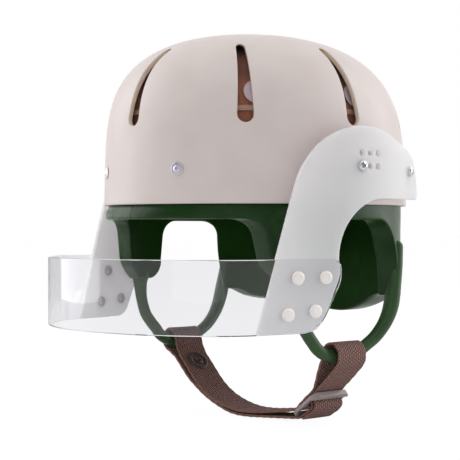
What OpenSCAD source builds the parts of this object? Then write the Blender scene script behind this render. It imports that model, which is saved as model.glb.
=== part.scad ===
// Hard shell protective helmet with a clear face bar, a foam liner with ear loops and a chin strap.
// The front is -Y, the wearer's left is +X and up is +Z. The origin is the middle of the shell's rim.

/* [Shell] */
// Outer width of the shell at its rim
shell_w = 200; // [180:1:220]
// Outer length of the shell at its rim
shell_l = 220; // [200:1:240]
// Height of the crown above the rim
shell_h = 118; // [110:1:135]
// Thickness of the moulded shell
shell_wall = 3.2; // [2.4:0.1:4]
// How far the crown leans forward of the rim's middle
crown_lean = 5.4; // [0:0.1:10]

/* [Vent slots] */
// Number of vent slots round the crown
slot_count = 8; // [6:1:8]
// Height of a slot's lower end
slot_low = 51; // [51:1:60]
// Height of a slot's upper end
slot_high = 104; // [85:1:106]
// Width of a slot at its lower end
slot_wide = 10.5; // [7:0.1:12]
// Width of a slot at its upper end
slot_narrow = 6; // [4:0.1:7]
// How far the diagonal slots stand towards the sides, in degrees
slot_shift = 2.4; // [0:0.1:4]
// How far the diagonal slots are turned towards the sides, in degrees
slot_turn = 11; // [0:0.5:12]

/* [Foam liner] */
// Thickness of the dipped foam
foam = 12.7; // [10:0.1:13]
// Gap between the shell and what lies inside it
liner_gap = 0.5; // [0.4:0.1:0.8]
// Height of the liner's upper edge inside the shell
liner_top = 46; // [40:1:48]
// Depth of the brow band below the shell's rim
brow_drop = 9.6; // [8:0.1:12]
// Depth of the temple pieces below the rim
temple_drop = 52; // [50:1:56]
// Depth of the nape below the rim
nape_drop = 77.5; // [74:0.5:84]
// Diameter of the ear loops' round section
loop_d = 8.2; // [7.6:0.1:9]
// Depth of the ear loops' lowest centreline below the rim
loop_drop = 100; // [98:0.5:100.5]
// How far the loops' lowest centreline stands in from the shell's side
loop_in = 14.6; // [14.2:0.1:15.2]

/* [Crown pad] */
// Thickness of the crown pad
crown_pad_t = 9; // [6:0.5:11]
// Air gap between the shell and the crown pad
crown_gap = 4.5; // [4.3:0.1:6]
// Width of the band sewn round the crown pad
crown_band_w = 3.5; // [3:0.1:5]
// Diameter of a hook-and-loop disc
disc_d = 16.5; // [12:0.5:17]

/* [Side brackets] */
// Thickness of a bracket's sheet
bracket_t = 3; // [2.5:0.1:4]
// Length of the spacers that hold a bracket off the shell
spacer_l = 4; // [3.8:0.1:6]
// Outward slope of the straight arms towards the rear
arm_splay = 0.165; // [0.15:0.005:0.18]
// Height of a bracket's top above the rim
bracket_top = 50; // [46:1:54]
// Depth of a bracket's lower edge below the rim
bracket_drop = 80; // [76:0.5:82]
// Pitch of the adjusting holes along the bracket
grid_pitch_y = 7.3; // [7:0.1:8.5]
// Pitch of the adjusting holes in height
grid_pitch_z = 8.5; // [7.5:0.1:10]
// Diameter of an adjusting hole
grid_hole_d = 4.4; // [4.2:0.1:5]

/* [Face bar] */
// Height of the clear bar
bar_h = 46; // [40:0.5:48]
// Depth of the bar's lower edge below the rim
bar_drop = 80.6; // [78:0.1:82]
// Thickness of the clear sheet
bar_t = 3; // [2.5:0.1:4]
// Reach of the bar's front in front of the rim's middle
bar_reach = 147; // [142:1:160]
// Fullness of the bar's front corners
bar_fullness = 45; // [38:1:52]

/* [Fasteners] */
// Diameter of the screws' and rivets' shanks
shank_d = 4; // [3.6:0.1:4]
// Diametral clearance of a shank in its hole
shank_play = 0.2; // [0.1:0.05:0.3]
// Diameter of a shell rivet's head
shell_rivet_d = 8.6; // [8:0.1:9.5]
// Diameter of a bar rivet's head
bar_rivet_d = 8.4; // [7.5:0.1:9]
// Diameter of a bracket screw's head
screw_head_d = 6.8; // [6.4:0.1:8.4]
// Outer diameter of a spacer
spacer_d = 11.5; // [9:0.1:12]

/* [Chin strap] */
// Width of the webbing
web_w = 25.4; // [24:0.1:25.6]
// Thickness of the webbing
web_t = 1.5; // [1.2:0.1:1.6]
// Outer length of the slide along the strap
slide_l = 26.8; // [26.4:0.1:27.2]
// Outer width of the slide across the strap
slide_w = 33; // [31.5:0.1:34]
// Thickness of the slide
slide_t = 2.2; // [1.8:0.1:2.3]
// Diameter of the snap fastener's cap
snap_d = 15.8; // [14:0.1:16.4]
// Space between the two webbing layers at the snap, centre to centre
snap_gap = 4.7; // [4.7:0.1:5]

/* [Hidden] */
$fn = 40;

// Dome: the shell narrows to its crown by these exponents
dome_draft = 0.03;
dome_power = 4.2;
dome_round = 2.33;
ring_n = 64;
shell_rings = 12;
pad_rings = 9;
hair = 0.01;

// Insets of each layer from the shell's outer face
in_shell = shell_wall;
in_foam = in_shell + liner_gap;
in_foam_face = in_foam + foam;
in_crown = in_shell + crown_gap;
in_crown_face = in_crown + crown_pad_t;
crown_base = liner_top + 0.3;

// Colours
beige = [0.80, 0.74, 0.72];
green = [0.10, 0.25, 0.09];
milky = [0.88, 0.87, 0.88, 0.9];
clear = [0.92, 0.92, 0.95, 0.3];
nickel = [0.75, 0.75, 0.80];
ivory = [0.92, 0.90, 0.88];
brown = [0.28, 0.19, 0.18];
suede = [0.50, 0.33, 0.24];
dark_metal = [0.25, 0.22, 0.21];
grey = [0.45, 0.42, 0.43];

// Vector and curve helpers
function unit(v) = v / norm(v);
function midpoint(a, b) = (a + b) / 2;
function last(list) = list[len(list) - 1];
function sum_to(list, i) = i <= 0 ? 0 : list[i - 1] + sum_to(list, i - 1);

// Corner-cutting makes a smooth curve from a few control points
function smooth(p, passes) = passes == 0 ? p : smooth(concat([p[0]],
    [for (i = [0:len(p) - 2]) each [0.75 * p[i] + 0.25 * p[i + 1], 0.25 * p[i] + 0.75 * p[i + 1]]],
    [last(p)]), passes - 1);

// One corner [x, y, r] of an outline, as an arc of radius r that touches both its sides
function corner_arc(before, at, after, r, steps) = r == 0 ? [at] :
    let (a = unit(before - at), b = unit(after - at), half = acos(a * b) / 2,
        middle = at + unit(a + b) * r / sin(half),
        from = at + a * r / tan(half) - middle, to = at + b * r / tan(half) - middle,
        start = atan2(from.y, from.x), turn = (atan2(to.y, to.x) - start + 540) % 360 - 180)
    [for (i = [0:steps]) middle + r * [cos(start + turn * i / steps), sin(start + turn * i / steps)]];
function rounded(c, steps = 8) = let (n = len(c)) [for (i = [0:n - 1])
    each corner_arc([c[(i + n - 1) % n].x, c[(i + n - 1) % n].y], [c[i].x, c[i].y],
        [c[(i + 1) % n].x, c[(i + 1) % n].y], c[i][2], steps)];

// A path in a plane, and the strip of even thickness along it
function path_dir(p, i) = unit(p[min(i + 1, len(p) - 1)] - p[max(i - 1, 0)]);
function beside(p, off) = [for (i = [0:len(p) - 1]) let (d = path_dir(p, i)) p[i] + off * [-d.y, d.x]];
function backwards(p) = [for (i = [len(p) - 1:-1:0]) p[i]];
function strip(p, t) = concat(beside(p, t / 2), backwards(beside(p, -t / 2)));

// Dome layers: one ring of points at height z on the surface that lies inset from the outer face
function dome_scale(t) = (1 - dome_draft * t) * pow(1 - pow(t, dome_power), 1 / dome_round);
function dome_point(inset, angle, z) = let (t = max(0, z) / (shell_h - inset), r = dome_scale(t))
    [(shell_w / 2 - inset) * r * sin(angle),
        -(shell_l / 2 - inset) * r * cos(angle) - crown_lean * t * t, z];
function dome_ring(inset, z) = [for (k = [0:ring_n - 1]) dome_point(inset, 360 * (k + 0.5) / ring_n, z)];
function dome_heights(inset, base, m) = [for (i = [0:m - 1])
    base + (shell_h - inset - base) * sin(90 * i / m)];

// Faces between ring i and ring j of n points each
function band_faces(i, j, n) = [for (k = [0:n - 1]) let (a = i * n + k, b = i * n + (k + 1) % n,
    c = j * n + (k + 1) % n, d = j * n + k) each [[a, d, c], [a, c, b]]];

// A wall closed at the crown, between two insets, from height base up in m rings
module dome_cap(outer, inner, base, m) {
    up = [for (z = dome_heights(outer, base, m)) dome_ring(outer, z)];
    down = [for (z = backwards(dome_heights(inner, base, m))) dome_ring(inner, z)];
    rings = concat(up, down);
    n = ring_n;
    poles = [dome_point(outer, 0, shell_h - outer), dome_point(inner, 0, shell_h - inner)];
    polyhedron(concat([for (r = rings) each r], poles), concat(
        [for (i = [0:m - 2]) each band_faces(i, i + 1, n)],
        [for (k = [0:n - 1]) [(m - 1) * n + k, 2 * m * n, (m - 1) * n + (k + 1) % n]],
        [for (k = [0:n - 1]) [m * n + k, m * n + (k + 1) % n, 2 * m * n + 1]],
        [for (i = [m:2 * m - 2]) each band_faces(i, i + 1, n)],
        band_faces(2 * m - 1, 0, n)));
}

// Below the rim the liner swells in front at once, and by degrees widens at the ears and tucks in behind
brow_wider = 0.02;
brow_longer = 0.025;
ear_wider = 0.06;
nape_tuck = 8;
function ease(t) = let (u = min(1, max(0, t))) u * u * (3 - 2 * u);
function liner_point(inset, angle, z) = let (p = dome_point(inset, angle, z),
    front = ease(-z / 5) * ease(-p.y / 20), rear = ease(-(z + 4) / 36))
    [p.x * (1 + brow_wider * front + ear_wider * rear * ease(p.y / 35)),
        p.y * (1 + brow_longer * front) - nape_tuck * rear * ease((p.y - 35) / 60), z];
function liner_ring(inset, z) = [for (k = [0:ring_n - 1]) liner_point(inset, 360 * (k + 0.5) / ring_n, z)];

// The liner's ring-shaped wall
module liner_wall(outer, inner, low, high) {
    heights = [low, -40, -31, -22, -13, -5, 0, 0.4 * high, 0.75 * high, high];
    rings = concat([for (z = heights) liner_ring(outer, z)],
        [for (z = backwards(heights)) liner_ring(inner, z)]);
    m = len(rings);
    polyhedron([for (r = rings) each r], [for (i = [0:m - 1]) each band_faces(i, (i + 1) % m, ring_n)]);
}

// Places its children on a dome layer at a plan angle, with Z along the outward normal
module on_dome(inset, angle, z) {
    p = dome_point(inset, angle, z);
    heading = atan2(-cos(angle) / (shell_l / 2 - inset), sin(angle) / (shell_w / 2 - inset));
    translate(p) rotate([0, 0, heading]) rotate([0, 90, 0]) children();
}
module rod(r, from, to) { translate([0, 0, from]) cylinder(r = r, h = to - from); }
module ring(r, bore, from, to) {
    difference() { rod(r, from, to); rod(bore, from - 1, to + 1); }
}
module both_sides() { children(); mirror([1, 0, 0]) children(); }
module across(points, from, to) {
    translate([from, 0, 0]) rotate([90, 0, 90]) linear_extrude(to - from) polygon(points);
}

// Shell rivets stand between the slots, but for the two places that the brackets' rear screws take
rivet_angles = [for (k = [0, 1, 3, 4, 6, 7]) 22.5 + 45 * k];
rivet_z = 22;
shank_r = shank_d / 2;
hole_r = shank_r + shank_play / 2;
rivet_end = in_foam_face + 1.9;
washer_face = in_foam_face + 0.8;
washer_r = 2.5 * shank_r;

// Brackets: their middle plane follows the rim, farther out at the sides, then runs straight and tangent
side_lift = 2.5;
rear_tuck = 1;
off_mid = spacer_l + bracket_t / 2;
off_w = shell_w / 2 + off_mid + side_lift;
off_l = shell_l / 2 + off_mid - rear_tuck;
tangent_q = arm_splay * off_l / off_w / sqrt(1 + pow(arm_splay * off_l / off_w, 2));
tangent_y = -off_l * tangent_q;
tangent_x = off_w * sqrt(1 - tangent_q * tangent_q);
bracket_end_angle = 140;
function arm_x(y) = tangent_x + arm_splay * (y - tangent_y);
arm_angle = atan(arm_splay);
arm_front = -91;
bracket_path = concat([[arm_x(arm_front), arm_front]],
    [for (i = [0:16]) let (w = acos(tangent_q) + (bracket_end_angle - acos(tangent_q)) * i / 16)
        [off_w * sin(w), -off_l * cos(w)]]);

// Screws that hold the brackets: the front one sits in the adjusting grid
screw_y = -7.2;
screw_z = 24.4;
front_screw_angle = acos(-screw_y / off_l);
rear_screw_angle = 115;
rear_screw_z = 22.5;
nut_flange_r = 7;
nut_flange_t = 1.2;
nut_gap = 0.7;
nut_barrel_r = 2.9;
nut_barrel_l = 7;
nut_play = 0.15;
function bracket_place(angle) = [off_w * sin(angle), -off_l * cos(angle)];
function bracket_way(angle) = unit([sin(angle) / off_w, -cos(angle) / off_l]);

// How deep a dome layer lies inside the bracket's inner face, along a screw at a plan angle and height
function depth_to(inset, angle, z) = let (t = z / (shell_h - inset), r = dome_scale(t),
    w = (shell_w / 2 - inset) * r, l = (shell_l / 2 - inset) * r, out = bracket_way(angle),
    from = bracket_place(angle) - out * bracket_t / 2 + [0, crown_lean * t * t],
    m = [out.x / w, out.y / l], q = [from.x / w, from.y / l])
    (q * m - sqrt(pow(q * m, 2) - m * m * (q * q - 1))) / (m * m);
front_gap = depth_to(0, front_screw_angle, screw_z);
rear_gap = depth_to(0, rear_screw_angle, rear_screw_z);
front_nut_seat = depth_to(in_shell, front_screw_angle, screw_z) + nut_gap;
rear_nut_seat = depth_to(in_shell, rear_screw_angle, rear_screw_z) + nut_gap;

// Face bar: straight arms on the brackets' outer faces, joined by a curve round the chin
bar_off = (bracket_t + bar_t) / 2;
bar_bend_y = -86;
bar_arm_x = arm_x(bar_bend_y) + bar_off * cos(arm_angle);
bar_arm_y = bar_bend_y - bar_off * sin(arm_angle);
bar_end_y = -26;
bar_top = bar_h - bar_drop;
arm_unit = [sin(arm_angle), cos(arm_angle)];
function bezier(a, b, c, d, t) = pow(1 - t, 3) * a + 3 * pow(1 - t, 2) * t * b
    + 3 * (1 - t) * t * t * c + pow(t, 3) * d;
bar_half = concat([[bar_arm_x, bar_arm_y] + 70 * arm_unit], [for (i = [0:14]) bezier([bar_arm_x, bar_arm_y],
    [bar_arm_x, bar_arm_y] - 35 * arm_unit, [bar_fullness, -bar_reach], [0, -bar_reach], i / 14)]);
bar_path = concat(bar_half, [for (i = [len(bar_half) - 2:-1:0]) [-bar_half[i].x, bar_half[i].y]]);
bar_rivet_places = [[-59, -46.2], [-38.3, -46.2], [-66.2, -68.7], [-46, -67]];

// Chin strap: the loops' lowest point, the hinge line of the swing and the strap's middle
loop_y = 1;
loop_front = 41.5;
loop_rear = 47;
loop_curl = 1.22;
loop_splay = 0.068;
loop_root_z = -55;
loop_r = loop_d / 2;
web_end_r = 0.3;
strap_shell_w = 200;
function follow(p) = p + [(shell_w - strap_shell_w) / 2 * max(-1, min(1, p.x / 50)), 0];
slide_c = [62.5, -132.5];
slide_tilt = 36.87;
slide_bar = 2.8;
slide_grip = 4.2;
slide_grip_t = 2.8;
slide_window = (slide_l - slide_grip - 2 * slide_bar) / 2;
slide_low = -slide_window - 1.5 * slide_bar;
function on_slide(s, q) = slide_c + [s * cos(slide_tilt) - q * sin(slide_tilt),
    s * sin(slide_tilt) + q * cos(slide_tilt)];

// Control points of the one long band, as [x, z], from its sewn end to its free end
fold_points = [on_slide(2, -2.2), on_slide(-2.2, -2.2), on_slide(-3.4, 0), on_slide(-2.2, 2.3),
    on_slide(2.2, 2.3), on_slide(4.4, 1), on_slide(4.8, -2), on_slide(3.2, -4.2), on_slide(-3, -4.3),
    on_slide(-8, -3.5), on_slide(-12, -2.9)];
lower_points = [[44, -142.9], [30, -144], [16, -145.1], [4, -146], [-8, -146.2], [-18, -145], [-28, -142.1],
    [-38, -138.6], [-47, -134.4], [-54.4, -129.9], [-62.2, -125.2], [-71.6, -116.4]];
right_turn_points = [[-77.9, -110.5], [-85, -106.8], [-90.9, -104], [-92.8, -98], [-90.6, -92.2],
    [-85.6, -89.8], [-80.8, -91.2], [-78.4, -95.5], [-77.4, -99.5], [-75.6, -104.2]];
upper_points = [[-72.4, -109.3], [-66.8, -114.4], [-61.5, -119.6], [-53.5, -127.4], [-45.5, -133],
    [-37.5, -137], [-28, -140.2], [-18, -142.4], [-8, -143.6], [4, -143.4], [16, -142.3], [28, -140.7],
    [40, -138.8], [48, -137.6]];
left_turn_points = [on_slide(-11.3, 2.9), on_slide(-5, 3.8), on_slide(4, 4.4), on_slide(11.3, 4.2),
    [71.6, -114.5], [74.2, -106.5], [77.2, -100.5], [78, -95], [80.8, -91.2], [85.6, -89.8], [90.6, -92.2],
    [92.8, -98], [91.4, -104.3], [85.5, -109.8], [78.5, -116.3], on_slide(14.5, 3), on_slide(11.3, 2.3)];
tail_points = [on_slide(8.4, 2.3), on_slide(7.6, -2), on_slide(7, -4.8), on_slide(4.5, -6.4),
    on_slide(-2, -6.2), on_slide(-9, -5.2)];
band_parts = [fold_points, lower_points, right_turn_points, upper_points, left_turn_points, tail_points];
band = [for (part = band_parts) each [for (p = part) follow(p)]];
band_counts = [for (p = band_parts) len(p)];
function band_part(i) = let (from = sum_to(band_counts, i), to = from + band_counts[i] - 1)
    concat(from == 0 ? [] : [midpoint(band[from - 1], band[from])], [for (k = [from:to]) band[k]],
        to == len(band) - 1 ? [] : [midpoint(band[to], band[to + 1])]);

// Snap fastener: on the upper layer's middle line, with its axis towards the chin
snap_p = follow([-66.84, -114.4]);
snap_lean = 43.1;
snap_socket_r = 5.2;
snap_post_r = 2;
snap_nub_r = 1.95;
snap_play = 0.1;

module outer_shell() color(beige) {
    difference() {
        dome_cap(0, in_shell, 0, shell_rings);
        for (k = [0:slot_count - 1]) vent_slot(360 * k / slot_count);
        for (a = rivet_angles) on_dome(0, a, rivet_z) rod(hole_r, -shell_wall - 2, 2);
        both_sides() front_screw_axis() rod(hole_r, -front_nut_seat - 1, 2);
        both_sides() rear_screw_axis() rod(hole_r, -rear_nut_seat - 1, 2);
    }
}

// A tapered slot with round ends, cut level from outside
function half_round(y, r, from) = [for (a = [from:22.5:from + 180]) [r * cos(a), y + r * sin(a)]];
slot_shape = concat(half_round(slot_low + slot_wide / 2, slot_wide / 2, 180),
    half_round(slot_high - slot_narrow / 2, slot_narrow / 2, 0));
module vent_slot(angle) {
    middle = dome_point(0, angle + slot_shift * sin(2 * angle), (slot_low + slot_high) / 2);
    out = angle + slot_turn * sin(2 * angle) - 90;
    translate([middle.x, middle.y, 0]) rotate([0, 0, out]) translate([-40, 0, 0]) rotate([90, 0, 90])
        linear_extrude(80) polygon(slot_shape);
}

// Screw axes, with Z pointing out and zero at the inner face of the bracket
module screw_axis(angle, z) {
    out = bracket_way(angle);
    translate(concat(bracket_place(angle), z)) rotate([0, 0, atan2(out.y, out.x)]) rotate([0, 90, 0])
        translate([0, 0, -bracket_t / 2]) children();
}
module front_screw_axis() screw_axis(front_screw_angle, screw_z) children();
module rear_screw_axis() screw_axis(rear_screw_angle, rear_screw_z) children();

module shell_rivets() color(nickel) {
    for (a = rivet_angles) on_dome(0, a, rivet_z) {
        translate([0, 0, 0.1]) rotate_extrude() polygon([[0, 0], [shell_rivet_d / 2, 0],
            [shell_rivet_d / 2 - 0.2, 0.5], [shell_rivet_d / 2 - 1.3, 0.8], [shell_rivet_d / 4, 0.85],
            [shell_rivet_d / 4 - 0.6, 1.3], [0, 1.5]]);
        rod(shank_r, -rivet_end, 0.3);
    }
}

module rivet_washers() color(nickel) {
    for (a = rivet_angles) on_dome(0, a, rivet_z) ring(washer_r, hole_r, -washer_face - 1, -washer_face);
}

// Side outline of everything the liner keeps, as [y, z, corner radius]
rear_root = temple_drop + 9;
liner_outline = rounded([[-130, 70, 0], [-130, -brow_drop, 0], [-64.5, -brow_drop, 12], [-59, -41, 12],
    [-46, -temple_drop, 2], [-21.5, -temple_drop, 13], [-16.5, -brow_drop - 0.2, 13],
    [29.5, -brow_drop - 0.2, 13], [38.5, -rear_root, 1.5], [52, -rear_root, 3], [62, -nape_drop + 10.5, 12],
    [80, -nape_drop + 3.5, 20], [130, -nape_drop, 0], [130, 70, 0]], 6);

module foam_liner() color(green) {
    difference() {
        intersection() {
            liner_wall(in_foam, in_foam_face, -nape_drop - 5, liner_top);
            across(liner_outline, -120, 120);
        }
        both_sides() ear_flare();
        for (a = rivet_angles) on_dome(0, a, rivet_z) rod(hole_r, -rivet_end - 2, 0);
        both_sides() front_screw_axis() nut_pocket(front_nut_seat);
        both_sides() rear_screw_axis() nut_pocket(rear_nut_seat);
    }
}

// The ear opening widens towards the rear as it comes outwards
module ear_flare() {
    inner = rounded([[8, -brow_drop - 0.2, 3], [29.5, -brow_drop - 0.2, 13], [38.5, -rear_root, 0],
        [8, -rear_root, 0]], 6);
    outer = rounded([[8, -brow_drop - 0.2, 3], [49, -brow_drop - 0.2, 20], [50.5, -rear_root, 0],
        [8, -rear_root, 0]], 6);
    hull() {
        across(inner, shell_w / 2 - 22, shell_w / 2 - 21.9);
        across(outer, shell_w / 2, shell_w / 2 + 0.1);
    }
}

// Room in the foam for a tee nut whose flange lies this deep below the bracket's inner face
module nut_pocket(seat) {
    rod(nut_flange_r + nut_play + 0.2, -seat - nut_flange_t - nut_play, 0);
    rod(nut_barrel_r + nut_play, -seat - nut_barrel_l - nut_play, 0);
}

// Ear loop: a round section along a U below the ear, wider and more pointed behind, splayed to the rear
function loop_point(a) = let (curl = a > 0 ? loop_curl : 1,
    y = a > 0 ? loop_rear * pow(sin(a), curl) : loop_front * sin(a))
    [shell_w / 2 - loop_in + loop_splay * y, loop_y + y,
        loop_root_z - (loop_drop + loop_root_z) * pow(max(0, cos(a)), curl)];
loop_route = concat([loop_point(-90) + [0, -1, 8]], [for (a = [-90:10:90]) loop_point(a)],
    [loop_point(90) + [0, 1, 8]]);
function ring_at(p, i, r, sides) = let (d = unit(p[min(i + 1, len(p) - 1)] - p[max(i - 1, 0)]),
    u = unit(cross(d, [1, 0, 0])), v = cross(d, u))
    [for (k = [0:sides - 1]) p[i] + r * (cos(360 * k / sides) * u + sin(360 * k / sides) * v)];
module tube(p, r, sides) {
    n = len(p);
    polyhedron([for (i = [0:n - 1]) each ring_at(p, i, r, sides)], concat(
        [for (k = [1:sides - 2]) [0, k, k + 1]],
        [for (i = [0:n - 2]) each band_faces(i, i + 1, sides)],
        [for (k = [1:sides - 2]) [(n - 1) * sides, (n - 1) * sides + k + 1, (n - 1) * sides + k]]));
}
module ear_loop() {
    difference() {
        tube(loop_route, loop_r, 12);
        translate([0, -60 + loop_y, -temple_drop - 0.05]) cube([120, 60, 60]);
        translate([0, loop_y, -rear_root - 0.05]) cube([120, 80, 60]);
    }
}
module ear_loop_left() color(green) ear_loop();
module ear_loop_right() color(green) mirror([1, 0, 0]) ear_loop();

module crown_pad() color(suede) dome_cap(in_crown, in_crown_face, crown_base, pad_rings);

module crown_band() color([0.62, 0.48, 0.40]) {
    low = slot_low + 8;
    n = ring_n;
    rings = [dome_ring(in_crown - 0.3 - 1, low), dome_ring(in_crown - 0.3 - 1, low + crown_band_w),
        dome_ring(in_crown - 0.3, low + crown_band_w), dome_ring(in_crown - 0.3, low)];
    polyhedron([for (r = rings) each r], [for (i = [0:3]) each band_faces(i, (i + 1) % 4, n)]);
}

disc_z = slot_low + 20;
disc_gap = 0.8;
disc_t = 1.2;
function disc_lean(a) = let (low = dome_point(in_crown, a, disc_z - 5),
    high = dome_point(in_crown, a, disc_z + 5))
    atan2(norm([low.x, low.y]) - norm([high.x, high.y]), 10);
module crown_discs() color([0.72, 0.68, 0.70]) {
    for (k = [0:slot_count - 1]) let (a = 7 + 360 * k / slot_count)
        on_dome(in_crown, a, disc_z) rotate([0, -disc_lean(a), 0])
            rod(disc_d / 2, disc_gap, disc_gap + disc_t);
}

// Bracket: side outline as [y, z, corner radius], and the holes through it
arm_lean = 0.308;
bracket_front = -86;
bracket_outline = rounded([[bracket_front, -bracket_drop, 0.8],
    [bracket_front + arm_lean * (bracket_drop + bracket_top), bracket_top, 56], [7, bracket_top, 60],
    [55, 33, 30], [76, 4, 6], [-24.7, 3.2, 38], [bar_end_y + 0.4, -46, 20],
    [bar_end_y - 15, -bracket_drop, 12]], 8);
module bracket() {
    difference() {
        intersection() {
            translate([0, 0, -bracket_drop - 5]) linear_extrude(bracket_drop + bracket_top + 10)
                polygon(strip(bracket_path, bracket_t));
            across(bracket_outline, 50, 120);
        }
        front_screw_axis() rod(hole_r, -2, bracket_t + 2);
        rear_screw_axis() rod(hole_r, -2, bracket_t + 2);
        for (i = [0:2], j = [0:1]) if (i + j > 0)
            translate([80, screw_y + i * grid_pitch_y, screw_z + j * grid_pitch_z]) rotate([0, 90, 0])
                rod(grid_hole_d / 2, 0, 40);
        for (p = bar_rivet_places) bar_rivet_axis(p) rod(hole_r, -bracket_t - 2, 2);
    }
}
module bracket_left() color(milky) bracket();
module bracket_right() color(milky) mirror([1, 0, 0]) bracket();

module bracket_spacers() color(milky) both_sides() {
    front_screw_axis() ring(spacer_d / 2, hole_r, spacer_play - front_gap, -spacer_play);
    rear_screw_axis() ring(spacer_d / 2, hole_r, spacer_play - rear_gap, -spacer_play);
}
spacer_play = 0.35;

// A pan-head screw with a cross recess, from outside the bracket into its nut
module pan_screw(length) {
    difference() {
        translate([0, 0, bracket_t + 0.05]) rotate_extrude() polygon([[0, 0], [screw_head_d / 2, 0],
            [screw_head_d / 2, 0.9], [screw_head_d / 2 - 0.7, 1.9], [screw_head_d / 4, 2.4], [0, 2.5]]);
        for (a = [0, 90]) rotate([0, 0, a + 20]) translate([-2, -0.45, bracket_t + 1.2]) cube([4, 0.9, 3]);
    }
    rod(shank_r, -length, bracket_t + 0.3);
}
module bracket_screws() color(nickel) both_sides() {
    front_screw_axis() pan_screw(front_nut_seat + nut_barrel_l - 1);
    rear_screw_axis() pan_screw(rear_nut_seat + nut_barrel_l - 1);
}

// Tee nuts: a flange behind the shell and a barrel in the foam
module tee_nut(seat) {
    difference() {
        union() {
            rod(nut_flange_r, -seat - nut_flange_t, -seat);
            rod(nut_barrel_r, -seat - nut_barrel_l, -seat - 0.5);
        }
        rod(shank_r + 0.05, -seat - nut_barrel_l - 1, 0);
    }
}
module bracket_nuts() color(nickel) both_sides() {
    front_screw_axis() tee_nut(front_nut_seat);
    rear_screw_axis() tee_nut(rear_nut_seat);
}

// Side outline of the face bar, as [y, z, corner radius]
bar_blank_y = -bar_reach - 20;
bar_outline = rounded([[bar_blank_y, bar_top, 0], [bar_end_y, bar_top, 0.14 * bar_h],
    [bar_end_y - 0.4, bar_top - 0.31 * bar_h, 0.4 * bar_h],
    [bar_end_y - 0.38 * bar_h, -bar_drop, 0.48 * bar_h], [bar_blank_y, -bar_drop, 0]], 8);
module face_bar() color(clear) {
    difference() {
        intersection() {
            translate([0, 0, -bar_drop]) linear_extrude(bar_h) polygon(strip(bar_path, bar_t));
            across(bar_outline, -130, 130);
        }
        both_sides() for (p = bar_rivet_places) bar_rivet_axis(p) rod(hole_r, -2, bar_t + 2);
    }
}

// A bar rivet's axis at [y, z], with Z pointing out and zero where the bracket meets the bar
module bar_rivet_axis(p) {
    translate([arm_x(p[0]), p[0], p[1]]) rotate([0, 0, -arm_angle]) rotate([0, 90, 0])
        translate([0, 0, bracket_t / 2]) children();
}
module bar_rivets() color(ivory) both_sides() for (p = bar_rivet_places) bar_rivet_axis(p) {
    translate([0, 0, bar_t + 0.05]) rotate_extrude() polygon([[0, 0], [bar_rivet_d / 2, 0],
        [bar_rivet_d / 2, 1.7], [bar_rivet_d / 2 - 0.5, 2.2], [bar_rivet_d / 4, 2.45], [0, 2.5]]);
    rod(shank_r, -bracket_t - 1.3, bar_t + 0.3);
}
module bar_rivet_washers() color(ivory) both_sides() for (p = bar_rivet_places)
    bar_rivet_axis(p) ring(3.9, hole_r, -bracket_t - 1.25, -bracket_t - 0.05);

// Webbing: a strip along one stretch of the band, as wide as the strap
module webbing(i) {
    translate([0, loop_y + web_w / 2, 0]) rotate([90, 0, 0])
        linear_extrude(web_w) polygon(strip(smooth(band_part(i), 2), web_t));
}
module snap_axis() translate([snap_p[0], loop_y, snap_p[1]]) rotate([0, snap_lean, 0]) children();
module slide_fold() color(brown) webbing(0);
module strap_lower_layer() color(brown) difference() {
    webbing(1);
    snap_axis() rod(snap_post_r - 0.4, -snap_gap - 3, -snap_gap + 3);
}
module strap_right_turn() color(brown) webbing(2);
module strap_upper_layer() color(brown) difference() {
    webbing(3);
    snap_axis() rod(snap_post_r + snap_play, -2, 2);
}
module strap_left_turn() color(brown) webbing(4);
module strap_tail() color(brown) webbing(5);

// Snap: cap and socket on the upper layer, stud and post on the lower one
web_face = web_t / 2 + 0.15;
module snap_cap() color(dark_metal) snap_axis() {
    difference() {
        union() {
            translate([0, 0, web_face]) rotate_extrude() polygon([[0, 0], [snap_d / 2, 0],
                [snap_d / 2, 0.7], [snap_d / 2 - 1, 1.3], [snap_d / 4 + 0.6, 1.1], [snap_d / 4, 0.8],
                [2.6, 0.8], [2.3, 1.2], [0, 1.2]]);
            rod(snap_post_r, -web_face, web_face + 0.3);
        }
        rod(1.3, -web_face - 1, web_face + 3);
    }
}
module snap_socket() color(dark_metal) snap_axis()
    ring(snap_socket_r, snap_nub_r + snap_play, -web_face - 1.9, -web_face);
module snap_stud() color(dark_metal) snap_axis() {
    base = -snap_gap + web_face;
    rod(5, base, base + 0.8);
    rod(snap_nub_r, base + 0.4, -web_face - 0.2);
}
module snap_post() color(dark_metal) snap_axis() {
    translate([0, 0, -snap_gap - web_face]) mirror([0, 0, 1]) rotate_extrude()
        polygon([[0, 0], [6, 0], [6, 0.5], [4.5, 1.3], [0, 1.6]]);
    rod(snap_post_r - 0.5, -snap_gap - web_face - 0.3, -snap_gap + web_face);
}

// Slide: a flat frame with two windows and a centre bar, thicker at its upper end
slide_corner = 5;
module slide_plan() {
    w = slide_w / 2;
    high = slide_low + slide_l;
    polygon(rounded([[slide_low, -w, slide_corner], [high, -w, slide_corner], [high, w, slide_corner],
        [slide_low, w, slide_corner]]));
}
module slide_frame() color(grey) {
    middle = follow(slide_c);
    translate([middle.x, loop_y, middle.y]) rotate([0, -slide_tilt, 0]) {
        translate([0, 0, -slide_t / 2]) linear_extrude(slide_t) difference() {
            slide_plan();
            for (s = [-1, 1]) translate([s * (slide_window + slide_bar) / 2, 0])
                square([slide_window, slide_w - 5], center = true);
        }
        translate([0, 0, slide_t / 2 - slide_grip_t]) linear_extrude(slide_grip_t) intersection() {
            slide_plan();
            translate([slide_low + slide_l - slide_grip, -slide_w / 2]) square([slide_grip, slide_w]);
        }
    }
}

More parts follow.
